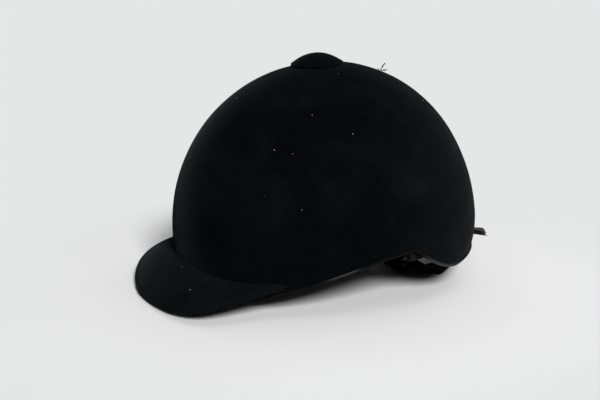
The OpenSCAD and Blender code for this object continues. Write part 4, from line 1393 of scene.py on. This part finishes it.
@dataclass
class Lining:
    """Quilted crown lining and padded sweatband."""

    form: HatForm
    depth: float = 21.4
    crown_pad: float = 3.0
    band_pad: float = 5.0
    channel: float = 1.1
    crown_start: float = 0.03
    crown_end: float = 0.965
    band_start: float = 0.975
    reach: float = 0.68
    crown_wedges: int = 16
    crown_rings: int = 3
    band_pads: int = 40
    band_rim: float = 0.3
    crown_fill: float = 0.4
    band_fill: float = 0.6
    seam_start: float = 0.34
    seam_end: float = 0.94
    stitch: Stitch = Stitch(4.0, 3.0, 0.2)

    @staticmethod
    def wedges(angle: Array, count: int, fullness: float) -> Array:
        """Returns how full the padding is at an angle, 0 in its seams."""
        return np.abs(np.sin(np.radians(angle * count / 2))) ** fullness

    def pad(self, name: str, rows: Array, thick: Array, finish: Finishes, reach: float = 1.0) -> Piece:
        """Makes one padded sheet, from its outer face to its thickness inward.

        Args:
            name: Name of the piece.
            rows: Rows of the hat's surface, from the button down.
            thick: Thickness at each row and column.
            finish: The materials.
            reach: Share of the crown's skirt that the last row reaches down.

        Returns:
            The pad.
        """
        faces = (self.form.surface(self.angle, rows, depth, reach) for depth in (self.depth, self.depth + thick))
        return sheet(name, *map(self.form.world, faces), finish.lining, wrap=True)

    @property
    def angle(self) -> Array:
        """Angles of the pads' columns."""
        return np.linspace(0, 360, 289)[:-1]

    def build(self, finish: Finishes, stitches: StitchTree) -> None:
        """Builds both pads and the quilting threads."""
        rows = dome_rows(self.crown_start, self.crown_end, 60)
        aa, rr = np.meshgrid(self.angle, rows)
        band = (rr - self.crown_start) / (self.crown_end - self.crown_start) * self.crown_rings
        band = np.abs(np.sin(np.pi * band)) ** 0.5
        puff = np.where(rr > 0.3, np.minimum(self.wedges(aa, self.crown_wedges, 0.5), band), band)
        crown = self.pad("quilted_crown_pad", rows, self.crown_pad - self.channel * (1 - puff), finish)
        place_piece(crown, Body.HELMET, "lining", "crown_lining")
        rows = np.concatenate([np.linspace(self.band_start, 1, 5), 1 + np.linspace(0, 1, 19)[1:]])
        aa, rr = np.meshgrid(self.angle, rows)
        t = (rr - self.band_start) / (2 - self.band_start)
        body = np.clip(np.sin(np.pi * np.clip(t * 0.94 + 0.03, 0, 1)), 0, 1) ** 0.35
        puff = self.wedges(aa, self.band_pads, 0.45)
        thick = self.band_pad * (self.band_rim + (1 - self.band_rim) * body) - self.channel * (1 - puff) * body
        pad = self.pad("channelled_sweatband", rows, thick, finish, self.reach)
        place_piece(pad, Body.HELMET, "lining", "sweatband")
        turns = 360.0 * np.arange(self.crown_wedges) / self.crown_wedges
        rows = dome_rows(self.seam_start, self.seam_end, 40)
        lines = self.form.world(self.form.surface(turns, rows, self.depth + self.crown_pad - self.channel + 0.05))
        seams = [lines[:, k] for k in range(self.crown_wedges)]
        sewn = stitches.sew("quilting_threads", seams, self.stitch, finish.thread)
        place_piece(sewn, Body.HELMET, "lining")


@dataclass
class NapeBand:
    """Padded leatherette band folded in under the back of the hat."""

    form: HatForm
    flat: float = 15.0
    middle_y: float = 74.0
    half_width: float = 15.0
    pad: float = 4.5
    end_turn: float = 37.0
    crease: float = 0.10
    fill: float = 0.5
    stitch_place: tuple[float, float] = (0.82, 0.69)
    stitch: Stitch = Stitch(3.2, 2.3, 0.25)
    half_section: tuple[tuple[float, float], ...] = (
        (0.0, 1.0),
        (0.3, 1.0),
        (0.6, 0.95),
        (0.76, 0.82),
        (0.82, 0.68),
        (0.88, 0.66),
        (0.96, 0.52),
        (1.0, 0.32),
        (0.97, 0.1),
        (0.88, 0.0),
        (0.45, 0.0),
        (0.0, 0.0),
    )

    def stations(self) -> Array:
        """Returns x, y, z, turn, roll and width share of the left half's underside."""
        rising = np.array(
            [
                [0, 0, 0, 0, 0, 1.0],
                [15, -0.5, 4.3, 0, 16, 1.0],
                [27.5, 1, 6.2, 8, 18, 0.97],
                [40, 3.5, 12.8, 20, 18, 0.88],
                [52, 5, 19.9, 33, 12, 0.76],
                [57, 4, 28.5, 36, 5, 0.66],
                [60, 2, 38, self.end_turn, 0, 0.62],
            ]
        )
        middle = rising[:1].copy()
        rising[:, 0] += self.flat
        return np.concatenate([middle, rising])

    def build(self, finish: Finishes, stitches: StitchTree) -> None:
        """Builds the band and its top-stitching."""
        left = self.stations()
        right = left[:0:-1] * np.array([-1, 1, 1, -1, 1, 1])
        line = smooth_path(np.concatenate([right, left]), 10)
        line[:, 2] = np.maximum(line[:, 2], 0.0)
        base = line[:, :3] + np.array([0, self.middle_y + self.form.shift, 0])
        along = unit(np.gradient(base, axis=0))
        turn, roll = np.radians(line[:, 3]), np.radians(line[:, 4])
        across = np.stack([-np.sin(turn) * np.cos(roll), np.cos(turn) * np.cos(roll), -np.sin(roll)], axis=1)
        up = unit(np.cross(along, across))
        w = self.half_width * line[:, 5]
        t = self.pad * (0.5 + 0.5 * line[:, 5])
        crease = 1 - self.crease * np.abs(np.sin(np.arange(len(line)) * 0.9)) * (np.abs(line[:, 0]) > self.flat)
        ring = [(-x, y) for x, y in self.half_section] + list(self.half_section[-2:0:-1])

        def lay(x: float, y: float) -> Array:
            """Returns the line at shares of the band's half width and thickness."""
            return base + across * (x * w)[:, None] + up * (y * t * crease)[:, None]

        sections = np.stack([lay(x, y) for x, y in ring], axis=1)
        sections[..., 2] = np.maximum(sections[..., 2], 0.0)
        piece = sweep("nape_pad", sections * MM, finish.leatherette, sharp=65.0)
        place_piece(piece, Body.HELMET, "leatherette", "nape_band")
        out, high = self.stitch_place
        lines = [lay(s * out, high) * MM for s in (-1, 1)]
        sewn = stitches.sew("nape_stitches", lines, self.stitch, finish.thread)
        place_piece(sewn, Body.HELMET, "leatherette")


@dataclass
class Bow:
    """Ribbon bow at the nape: two flat loops, a knot and two loose tails."""

    form: HatForm
    drop: float = 25.0
    ribbon_width: float = 7.0
    ribbon: float = 0.7
    loop: float = 21.0
    knot_half: float = 3.6
    knot_depth: float = 4.0
    back: float = 0.3
    wave: float = 0.3
    curl: float = 0.22
    thin_rim: float = 0.6
    frays: int = 18
    fray_radius: float = 0.1
    fray_spread: float = 0.35
    fray_length: tuple[float, float] = (0.6, 2.0)
    near_tail: tuple[tuple[float, ...], ...] = (
        (1.0, 2.2, -3.0, -5, 0.6),
        (2.4, 5.0, -5.6, -12, 0.85),
        (3.7, 8.5, -8.3, -9, 1.0),
        (4.2, 14.5, -10.4, 2, 1.0),
        (4.5, 19.5, -12.1, 16, 1.0),
        (4.8, 23.3, -13.9, 29, 1.0),
    )
    far_tail: tuple[tuple[float, ...], ...] = (
        (-1.2, 2.2, -3.2, 15, 0.6),
        (-1.4, 5.0, -7.0, 45, 0.8),
        (-1.1, 8.5, -11.4, 66, 0.86),
        (-0.6, 14.0, -13.5, 66, 0.88),
        (0.0, 20.0, -15.6, 62, 0.88),
        (0.8, 25.8, -17.6, 56, 0.84),
    )
    across_tail: tuple[float, ...] = (-1.0, -0.93, -0.8, -0.45, 0.0, 0.45, 0.8, 0.93, 1.0)

    @property
    def surface_y(self) -> float:
        """Distance of the crown's back under the bow from its middle."""
        return float(self.form.back - self.form.tuck(np.array(180.0), np.array(-self.drop)))

    def world(self, points: Array) -> Array:
        """Turns points of the bow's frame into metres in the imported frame."""
        return self.form.world(points + np.array([0, self.surface_y, -self.drop]))

    def flat_world(self, points: Array) -> Array:
        """Turns points of the frame that leans with the velvet into metres."""
        lean = math.atan(2 * self.form.nape_tuck * self.drop / self.form.nape_drop**2)
        return self.world(tilt(points, -lean))

    def loops(self, finish: Finishes) -> None:
        """Builds the two pressed loops as one piece."""
        parts = []
        root, tip = self.knot_half + 0.2, self.loop - 1.3
        back = [[root, 2.95, 0.62], [7.5, 2.6, 0.86], [12, 2.15, 1.0], [tip, 1.35, 1.0], [tip + 0.85, 0.4, 1.0]]
        front = [[tip, -0.4, 1.0], [12, 0.25, 1.0], [7.5, 0.75, 0.86], [root, 1.2, 0.62]]
        line = smooth_path(np.array(back + front), 6)
        for s in (-1, 1):
            path = np.stack([s * line[:, 0], line[:, 1], self.wave * np.sin(np.linspace(0, 9, len(line)))], axis=1)
            along = unit(np.gradient(path, axis=0))
            across = np.tile([0.0, 0.0, 1.0], (len(path), 1))
            up = unit(np.cross(along, across))
            sections = strip_sections(path, across, up, self.ribbon_width / 2 * line[:, 2], self.ribbon, self.thin_rim)
            parts.append(sweep(f"loop_{s}", self.flat_world(sections), finish.bow))
        place_piece(join("bow_ribbon_loops", parts), Body.HELMET, "satin", "bow_loops")

    def knot(self, finish: Finishes) -> None:
        """Builds the knot: a ribbon wound round the loops' middle."""
        turn = np.radians(np.linspace(0, 360, 49)[:-1])
        middle, inset = self.back + self.knot_depth / 2, 0.25
        z = (self.knot_half - inset) * np.sign(np.cos(turn)) * np.abs(np.cos(turn)) ** 0.6
        y = middle + (self.knot_depth / 2 - inset) * np.sign(np.sin(turn)) * np.abs(np.sin(turn)) ** 0.7
        path = np.stack([0 * turn, y, z], axis=1)
        out = unit(path - np.array([0, middle, 0]))
        across = np.tile([1.0, 0.0, 0.0], (len(path), 1))
        fold = [(-1.0, -0.2), (-0.9, 0.25), (-0.5, 0.05), (-0.15, 0.25)]
        fold += [(0.2, 0.05), (0.6, 0.25), (0.92, 0.2), (1.0, -0.2)]
        back = [(x, -0.75) for x, _ in fold[::-1]]
        sections = np.stack([path + across * (x * self.knot_half) + out * y for x, y in fold + back], axis=1)
        piece = sweep("bow_wrapped_knot", self.flat_world(sections[::-1]), finish.bow, wrap=True)
        place_piece(piece, Body.HELMET, "satin", "bow_knot")

    def tails(self, finish: Finishes) -> None:
        """Builds the two tails, which turn as they hang, and the threads loose at their ends."""
        parts, frayed = [], []
        rng = np.random.default_rng(21)
        for stations in (self.near_tail, self.far_tail):
            line = smooth_path(np.array(stations, float), 5)
            path, turn = line[:, :3], np.radians(line[:, 3])
            across = np.stack([np.cos(turn), 0 * turn, -np.sin(turn)], axis=1)
            up = unit(np.cross(across, unit(np.gradient(path, axis=0))))
            u = np.array(self.across_tail)
            half = self.ribbon_width / 2 * line[:, 4:5] * u
            curl = self.curl * np.sin(half * 0.9 + np.arange(len(path))[:, None] * 0.35)
            over = path[:, None] + across[:, None] * half[..., None] + up[:, None] * curl[..., None]
            thin = self.ribbon * np.where(np.abs(u) > 0.9, self.thin_rim, 1.0)
            below = over - up[:, None] * thin[None, :, None]
            ring = np.concatenate([over, below[:, ::-1]], axis=1)
            parts.append(sweep("tail", self.world(ring[:, ::-1]), finish.bow))
            for w in rng.uniform(0, len(u) - 1.01, self.frays):
                k, part = int(w), w % 1
                start = over[-1, k] * (1 - part) + over[-1, k + 1] * part - up[-1] * self.ribbon / 2
                way = unit(unit(over[-1, k] - over[-2, k]) + rng.normal(0, self.fray_spread, 3))
                way *= rng.uniform(*self.fray_length)
                frayed.append(self.world(np.array([start - way * 0.4, start, start + way])))
        place_piece(join("bow_ribbon_tails", parts), Body.HELMET, "satin", "bow_tails")
        place_piece(fibres("bow_frayed_threads", frayed, self.fray_radius, finish.loose), Body.HELMET, "satin")

    def build(self, finish: Finishes) -> None:
        """Builds the whole bow."""
        self.loops(finish)
        self.knot(finish)
        self.tails(finish)


def fibres(name: str, lines: Sequence[Array], radius: float, material: Finish) -> Piece:
    """Makes thin bent fibres through lines of points.

    Args:
        name: Name of the piece.
        lines: Points of each fibre in metres.
        radius: Radius of a fibre in millimetres.
        material: Material of the fibres.

    Returns:
        One object with every fibre.
    """
    parts = []
    ring = [(math.cos(a), math.sin(a)) for a in (0.0, -2.1, -4.2)]
    for line in lines:
        path = smooth_path(line, 3)
        along = unit(np.gradient(path, axis=0))
        side = unit(np.cross(along, [0.1, 0.2, 1.0]))
        other = np.cross(along, side)
        sections = [path + (side * c + other * d) * radius * MM for c, d in ring]
        parts.append(sweep("fibre", np.stack(sections, axis=1), material))
    return join(name, parts)


def join(name: str, parts: Sequence[Piece]) -> Piece:
    """Joins mesh objects into one.

    Args:
        name: Name of the joined piece.
        parts: Objects to join; they are removed.

    Returns:
        The joined object.
    """
    bpy.ops.object.select_all(action="DESELECT")
    for part in parts:
        part.select_set(True)
    bpy.context.view_layer.objects.active = parts[0]
    bpy.ops.object.join()
    joined = bpy.context.view_layer.objects.active
    joined.name = name
    joined.data.name = name
    return joined


# ------------------------------------------------------------------ the harness


@dataclass
class Harness:
    """Straps that fold in under the hat, with their webbing and stitching."""

    form: HatForm
    bar_x: float = 85.0
    bar_y: float = 42.0
    front_drop: float = 6.2
    rear_drop: float = 9.6
    bar_radius: float = 1.5
    clearance: float = 0.1
    webbing: float = 1.5
    strap_width: float = 14.0
    chin_width: float = 19.0
    drop: float = 68.0
    offset: float = 16.0
    slider_length: float = 10.5
    ear_gap: float = 0.4
    pivot_rise: float = 1.2
    ease: float = 0.1
    rim: float = 0.7
    keeper_place: float = 21.5
    keeper_half: float = 3.5
    keeper_wall: float = 0.45
    tack: Stitch = Stitch(1.1, 1.0, 0.16)
    tack_start: float = 6.5
    tack_end: float = 11.5
    folds: dict[Side, float] = field(default_factory=lambda: {Side.LEFT: 27.011946, Side.RIGHT: 30.066144})

    @property
    def pitch(self) -> float:
        """Slope in radians of the line from the rear bar to the front one."""
        return math.atan2(self.front_drop - self.rear_drop, 2 * self.bar_y)

    @property
    def eye(self) -> float:
        """Radius of the webbing's middle round a bar."""
        return self.bar_radius + self.clearance + self.webbing / 2

    @property
    def slider_top(self) -> float:
        """Distance from the hinge line to the slider's near edge."""
        return self.drop - self.slider_length - (self.eye + self.webbing / 2) - self.ear_gap

    def flap_world(self, side: Side, points: Array) -> Array:
        """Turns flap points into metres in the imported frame.

        Args:
            side: Side of the flap.
            points: Distance inward from the hinge, place along the hinge
                line and height over the flap.

        Returns:
            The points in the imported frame.
        """
        fold = math.radians(self.folds[side])
        c, s = math.cos(fold), math.sin(fold)
        inward, along, height = np.moveaxis(points, -1, 0)
        flap = np.stack([-inward * c - height * s, along, -inward * s + height * c], axis=-1)
        hat = tilt(flap, self.pitch) + [self.bar_x, 0.0, -(self.front_drop + self.rear_drop) / 2]
        return self.form.world(hat * [side.value, 1, 1])

    def chin_world(self, side: Side, points: Array) -> Array:
        """Turns chin strap points (back along the flap, across, up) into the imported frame."""
        return self.flap_world(side, points * [-1, 1, 1] + [self.drop, -side.value * self.offset, self.pivot_rise])

    def strap(self, side: Side, rear: bool, finish: Finishes) -> tuple[Piece, list[Array]]:
        """Builds one strap, looped round its bar and sewn back on itself.

        Args:
            side: Side of the strap.
            rear: Whether it is the rear strap.
            finish: The materials.

        Returns:
            The strap and the line of its bar tack.
        """
        sign = 1 if rear else -1
        bar = sign * self.bar_y / math.cos(self.pitch)
        r = self.eye
        ring = [(-r * math.sin(math.radians(a)), r * math.cos(math.radians(a))) for a in range(0, 181, 15)]
        end = [(13.0, 1.55), (9.0, 1.65), (5.0, 2.05)]
        line = end + ring + [(4.0, -1.85), (8.0, -0.78), (12.0, 0.0), (16.0, 0.05)]
        line += [(s, 0.0) for s in np.linspace(20, self.slider_top + 8, 14)]
        path, across, up = side_view(np.array(line))
        taper, entry = 3.8, self.slider_top - 0.6
        t = np.clip((np.clip(path[:, 0], 0, None) - taper) / (entry - taper), 0, 1)
        slot_half = (self.chin_width / 2 + self.ear_gap - 0.3) / 2
        middle = -side.value * self.offset + sign * (slot_half + self.ease)
        path[:, 1] = bar * (1 - t) + middle * t
        half = self.strap_width / 2 * (1 - t) + (slot_half - self.ease) * t
        half[: len(end) + len(ring)] = self.strap_width / 2 - self.ease
        sections = strip_sections(path, across, up, half, self.webbing - self.ease, self.rim)
        if side is Side.LEFT:
            sections = sections[:, ::-1]
        name = f"{'rear' if rear else 'front'}_webbing_{side.word}"
        piece = sweep(name, self.flap_world(side, sections), finish.webbing)
        tack = []
        for u in (-0.75, -0.25, 0.25, 0.75):
            y = bar + u * self.strap_width / 2
            near, far = (self.tack_start, 2.62), (self.tack_end, 2.36)
            for (s0, z0), (s1, z1) in ((near, far), (far, near)):
                tack.append(np.array([[s0, y - 1.0, z0], [s1, y + 1.0, z1]]))
        return piece, [self.flap_world(side, line) for line in tack]

    def chin_path(self, side: Side) -> Array:
        """Returns the chin strap's path: x back along the flap, and height."""
        r = self.eye
        ring = [(r * math.cos(math.radians(a)), r * math.sin(math.radians(a))) for a in range(30, -271, -15)]
        if side is Side.LEFT:
            return np.array(ring + [(x, r) for x in np.linspace(3, 22.8, 10)])
        pitch = self.webbing + 0.6
        far, near = 42.0, 5.0
        path = ring + [(x, r) for x in np.linspace(3, far, 14)]
        small, large = (0.6 + self.webbing) / 2, (1.65 + self.webbing) / 2

        def fold(x: float, z: float, radius: float, way: int) -> list[tuple[float, float]]:
            """Returns a half turn upward at x."""
            turns = np.radians(np.linspace(-75, 75, 9))
            return [(x + way * radius * math.cos(a), z + radius + radius * math.sin(a)) for a in turns]

        path += fold(far, r, small, 1) + [(x, r + pitch) for x in np.linspace(far, near, 14)]
        path += fold(near, r + pitch, small, -1) + [(x, r + 2 * pitch) for x in np.linspace(near, far, 14)]
        path += fold(far, r + 2 * pitch, large, 1)
        top = r + 2 * pitch + 2 * large
        path += [(x, top) for x in np.linspace(far, 29.2, 6)]
        return np.array(path)

    def chin(self, side: Side, finish: Finishes) -> Piece:
        """Builds one half of the chin strap."""
        path, across, up = side_view(self.chin_path(side))
        half = (self.chin_width - self.ease) / 2
        sections = strip_sections(path, across, up, half, self.webbing - self.ease, self.rim)
        if side is Side.RIGHT:
            sections = sections[:, ::-1]
        return sweep(f"chin_webbing_{side.word}", self.chin_world(side, sections), finish.webbing)

    def keeper(self, finish: Finishes) -> Piece:
        """Builds the elastic keeper round the folded strap."""
        low, high, corner = 1.2, 7.7, 0.9
        side, top, bottom = self.chin_width / 2 + self.keeper_wall - corner, high - corner, low + corner
        loop = []
        for y, z, start in ((side, top, 0), (-side, top, 90), (-side, bottom, 180), (side, bottom, 270)):
            for a in np.radians(np.linspace(start, start + 90, 6)):
                loop.append((y + corner * math.cos(a), z + corner * math.sin(a)))
        ring = np.array(loop)
        path = np.stack([self.keeper_place + 0 * ring[:, 0], ring[:, 0], ring[:, 1]], axis=1)
        tangent = unit(np.roll(ring, -1, axis=0) - np.roll(ring, 1, axis=0))
        up = np.stack([0 * tangent[:, 0], tangent[:, 1], -tangent[:, 0]], axis=1)
        across = np.tile([1.0, 0.0, 0.0], (len(path), 1))
        sections = strip_sections(path, across, up, self.keeper_half, self.keeper_wall, self.rim)
        return sweep("keeper_band", self.chin_world(Side.RIGHT, sections[:, ::-1]), finish.elastic, wrap=True)

    def build(self, finish: Finishes, stitches: StitchTree) -> None:
        """Builds every strap and its bar tacks."""
        bodies = {Side.LEFT: (Body.LEFT_STRAPS, Body.LEFT_CHIN), Side.RIGHT: (Body.RIGHT_STRAPS, Body.RIGHT_CHIN)}
        for side, (flap, chin) in bodies.items():
            tacks: list[Array] = []
            for end, rear in (("front", False), ("rear", True)):
                piece, tack = self.strap(side, rear, finish)
                place_piece(piece, flap, "webbing", f"{end}_strap_{side.word}")
                tacks += tack
            sewn = stitches.sew(f"bar_tacks_{side.word}", tacks, self.tack, finish.thread)
            place_piece(sewn, flap, "webbing")
            place_piece(self.chin(side, finish), chin, "webbing", f"chin_strap_{side.word}")
        place_piece(self.keeper(finish), Body.RIGHT_CHIN, "webbing", "chin_strap_keeper")


class HardParts:
    """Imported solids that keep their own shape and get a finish."""

    MATERIALS: dict[str, tuple[str, ...]] = {
        "shell": ("outer_shell", "button_core", "peak_core"),
        "foam": ("impact_liner",),
        "metal": ("button_rivet", "button_washer", "nape_band_studs", "hanger_rivets"),
        "plastic": (
            "front_hanger_left",
            "rear_hanger_left",
            "front_hanger_right",
            "rear_hanger_right",
            "strap_slider_left",
            "strap_slider_right",
            "buckle_socket",
            "buckle_plug",
        ),
    }

    def build(self, finish: Finishes) -> None:
        """Sets each solid's material."""
        for kind, names in self.MATERIALS.items():
            for name in names:
                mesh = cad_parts[name].data
                mesh.materials.clear()
                mesh.materials.append(getattr(finish, kind))
                log.info("%s: %s", name, kind)


# ---------------------------------------------------------------------- studio


@dataclass(frozen=True)
class Studio:
    """Pale table and backdrop, soft lamps and the camera."""

    azimuth: float = 70.0
    elevation: float = 14.03
    distance: float = 0.9
    focal_px: float = 1075.21
    target: tuple[float, float, float] = (0.0, -0.01842, 0.06752)
    floor_tone: float = 0.59
    backdrop_tone: float = 0.785
    fill: float = 0.06
    fill_colour: Colour = rgb(0.92, 0.93, 0.94)
    cool: float = 1.01
    clip: tuple[float, float] = (0.01, 50.0)
    looked_at: tuple[float, float, float] = (0.0, 0.0, 0.06)
    clear_from: float = 0.16
    clear_to: float = 0.33
    sensor: float = 36.0
    photo_px: float = 600.0
    half_table: float = 8.0
    sweep_start: float = 0.8
    sweep_radius: float = 0.8
    lamps: tuple[tuple[str, tuple[float, float, float], float, float], ...] = (
        ("near_softbox", (3.77, -0.26, 2.51), 1.1, 335.0),
        ("top_softbox", (0.1, 0.4, 1.7), 1.4, 5.5),
        ("rear_softbox", (0.6, 0.9, 2.2), 0.9, 5.0),
        ("far_softbox", (-2.0, 0.6, 1.5), 1.4, 5.0),
    )

    @property
    def pale(self) -> Colour:
        """Tone of the backdrop that the camera sees, a little cooler than grey."""
        t = self.backdrop_tone
        return rgb(t, t * self.cool, t * self.cool)

    @staticmethod
    def aim(obj: Piece, place: Vector, way: Vector) -> None:
        """Puts a camera or lamp in its place and turns it to look along a way."""
        obj.location = place
        obj.rotation_mode = "QUATERNION"
        obj.rotation_quaternion = way.to_track_quat("-Z", "Y")

    def camera(self) -> None:
        """Makes the camera at the photograph's angle."""
        data = bpy.data.cameras.new("camera")
        data.sensor_width = self.sensor
        data.lens = self.focal_px * self.sensor / self.photo_px
        data.clip_start, data.clip_end = self.clip
        obj = add_object("camera", data)
        a, e = math.radians(self.azimuth), math.radians(self.elevation)
        back = Vector((math.sin(a) * math.cos(e), -math.cos(a) * math.cos(e), math.sin(e)))
        self.aim(obj, Vector(self.target) + back * self.distance, -back)
        bpy.context.scene.camera = obj

    def lamp(self, name: str, place: tuple[float, float, float], size: float, power: float) -> None:
        """Adds a square area lamp that looks at the hat.

        Args:
            name: Name of the lamp.
            place: Its middle, in metres.
            size: Its side.
            power: Its power in watts.
        """
        data = bpy.data.lights.new(name, "AREA")
        data.size = size
        data.energy = power
        self.aim(add_object(name, data), Vector(place), Vector(self.looked_at) - Vector(place))

    def floor(self) -> None:
        """Makes the table top, which curves up into the backdrop."""
        a = math.radians(self.azimuth)
        away = Vector((-math.sin(a), math.cos(a), 0))
        side = Vector((math.cos(a), math.sin(a), 0)) * self.half_table
        start, radius, under_hat = self.sweep_start, self.sweep_radius, 0.00005
        profile = [(-6.0, 0.0), (-1.0, 0.0), (start, 0.0)]
        turn = np.linspace(0.1, math.pi / 2, 14)
        profile += [(start + radius * math.sin(t), radius - radius * math.cos(t)) for t in turn]
        profile += [(start + radius, 6.0)]
        edges = [[away * d + side * w + Vector((0, 0, h - under_hat)) for w in (-1, 1)] for d, h in profile]
        faces = [[k, k + 1, k + 3, k + 2] for k in range(0, 2 * len(profile) - 2, 2)]
        mat = Material("table_paper", Roughness=0.9, Specular_IOR_Level=0.1)
        tone = mat.ramp(mat.noise(mat.object_space, 3.0, 2.0), 0.3, 0.7)
        mat.feed("Base Color", mat.mix(tone, rgb(self.floor_tone * 0.985), rgb(self.floor_tone)))
        mat.bump(mat.noise(mat.object_space, 400.0, 2.0), 0.05, 0.2)
        self.even_out(mat)
        make_mesh("table", np.array(edges).reshape(-1, 3), faces, mat.material)

    def even_out(self, mat: Material) -> None:
        """Lets the camera see an even pale tone away from the hat, as on the photograph's sweep.

        Args:
            mat: The table's material.
        """
        reach = mat.add("ShaderNodeVectorMath", {0: mat.object_space, 1: (1.0, 1.0, 0.0)}, operation="MULTIPLY")
        length = mat.add("ShaderNodeVectorMath", {0: reach.outputs[0]}, operation="LENGTH")
        away = mat.ramp(length.outputs["Value"], self.clear_from, self.clear_to)
        pale = mat.add("ShaderNodeEmission", {"Color": self.pale, "Strength": 1.0})
        mat.show_to_camera(away, mat.shader.outputs[0], pale.outputs[0])

    def world(self) -> None:
        """Sets an even pale world."""
        world = bpy.data.worlds.new("studio")
        bpy.context.scene.world = world
        world.use_nodes = True
        tree = Tree(world.node_tree)
        fill = tree.find("BACKGROUND")
        fill.inputs["Color"].default_value = self.fill_colour
        fill.inputs["Strength"].default_value = self.fill
        pale = tree.add("ShaderNodeBackground", {"Color": self.pale, "Strength": 1.0})
        tree.show_to_camera(1.0, fill.outputs[0], pale.outputs[0])

    def build(self) -> None:
        """Builds the whole studio."""
        self.camera()
        self.world()
        self.floor()
        for lamp in self.lamps:
            self.lamp(*lamp)
        bpy.context.scene.view_settings.view_transform = "Standard"


def main() -> None:
    """Builds the studio and every piece of the helmet."""
    logging.basicConfig(level=logging.INFO, format="%(message)s")
    Studio().build()
    form, finish, stitches, lint = HatForm(), Finishes(), StitchTree(), LintTree()
    VelvetCrown(form).build(finish, lint)
    EdgeBinding(form).build(finish, stitches)
    Button(form).build(finish)
    Peak(form).build(finish, stitches)
    Lining(form).build(finish, stitches)
    NapeBand(form).build(finish, stitches)
    Bow(form).build(finish)
    Harness(form).build(finish, stitches)
    HardParts().build(finish)


if __name__ == "__main__":
    main()
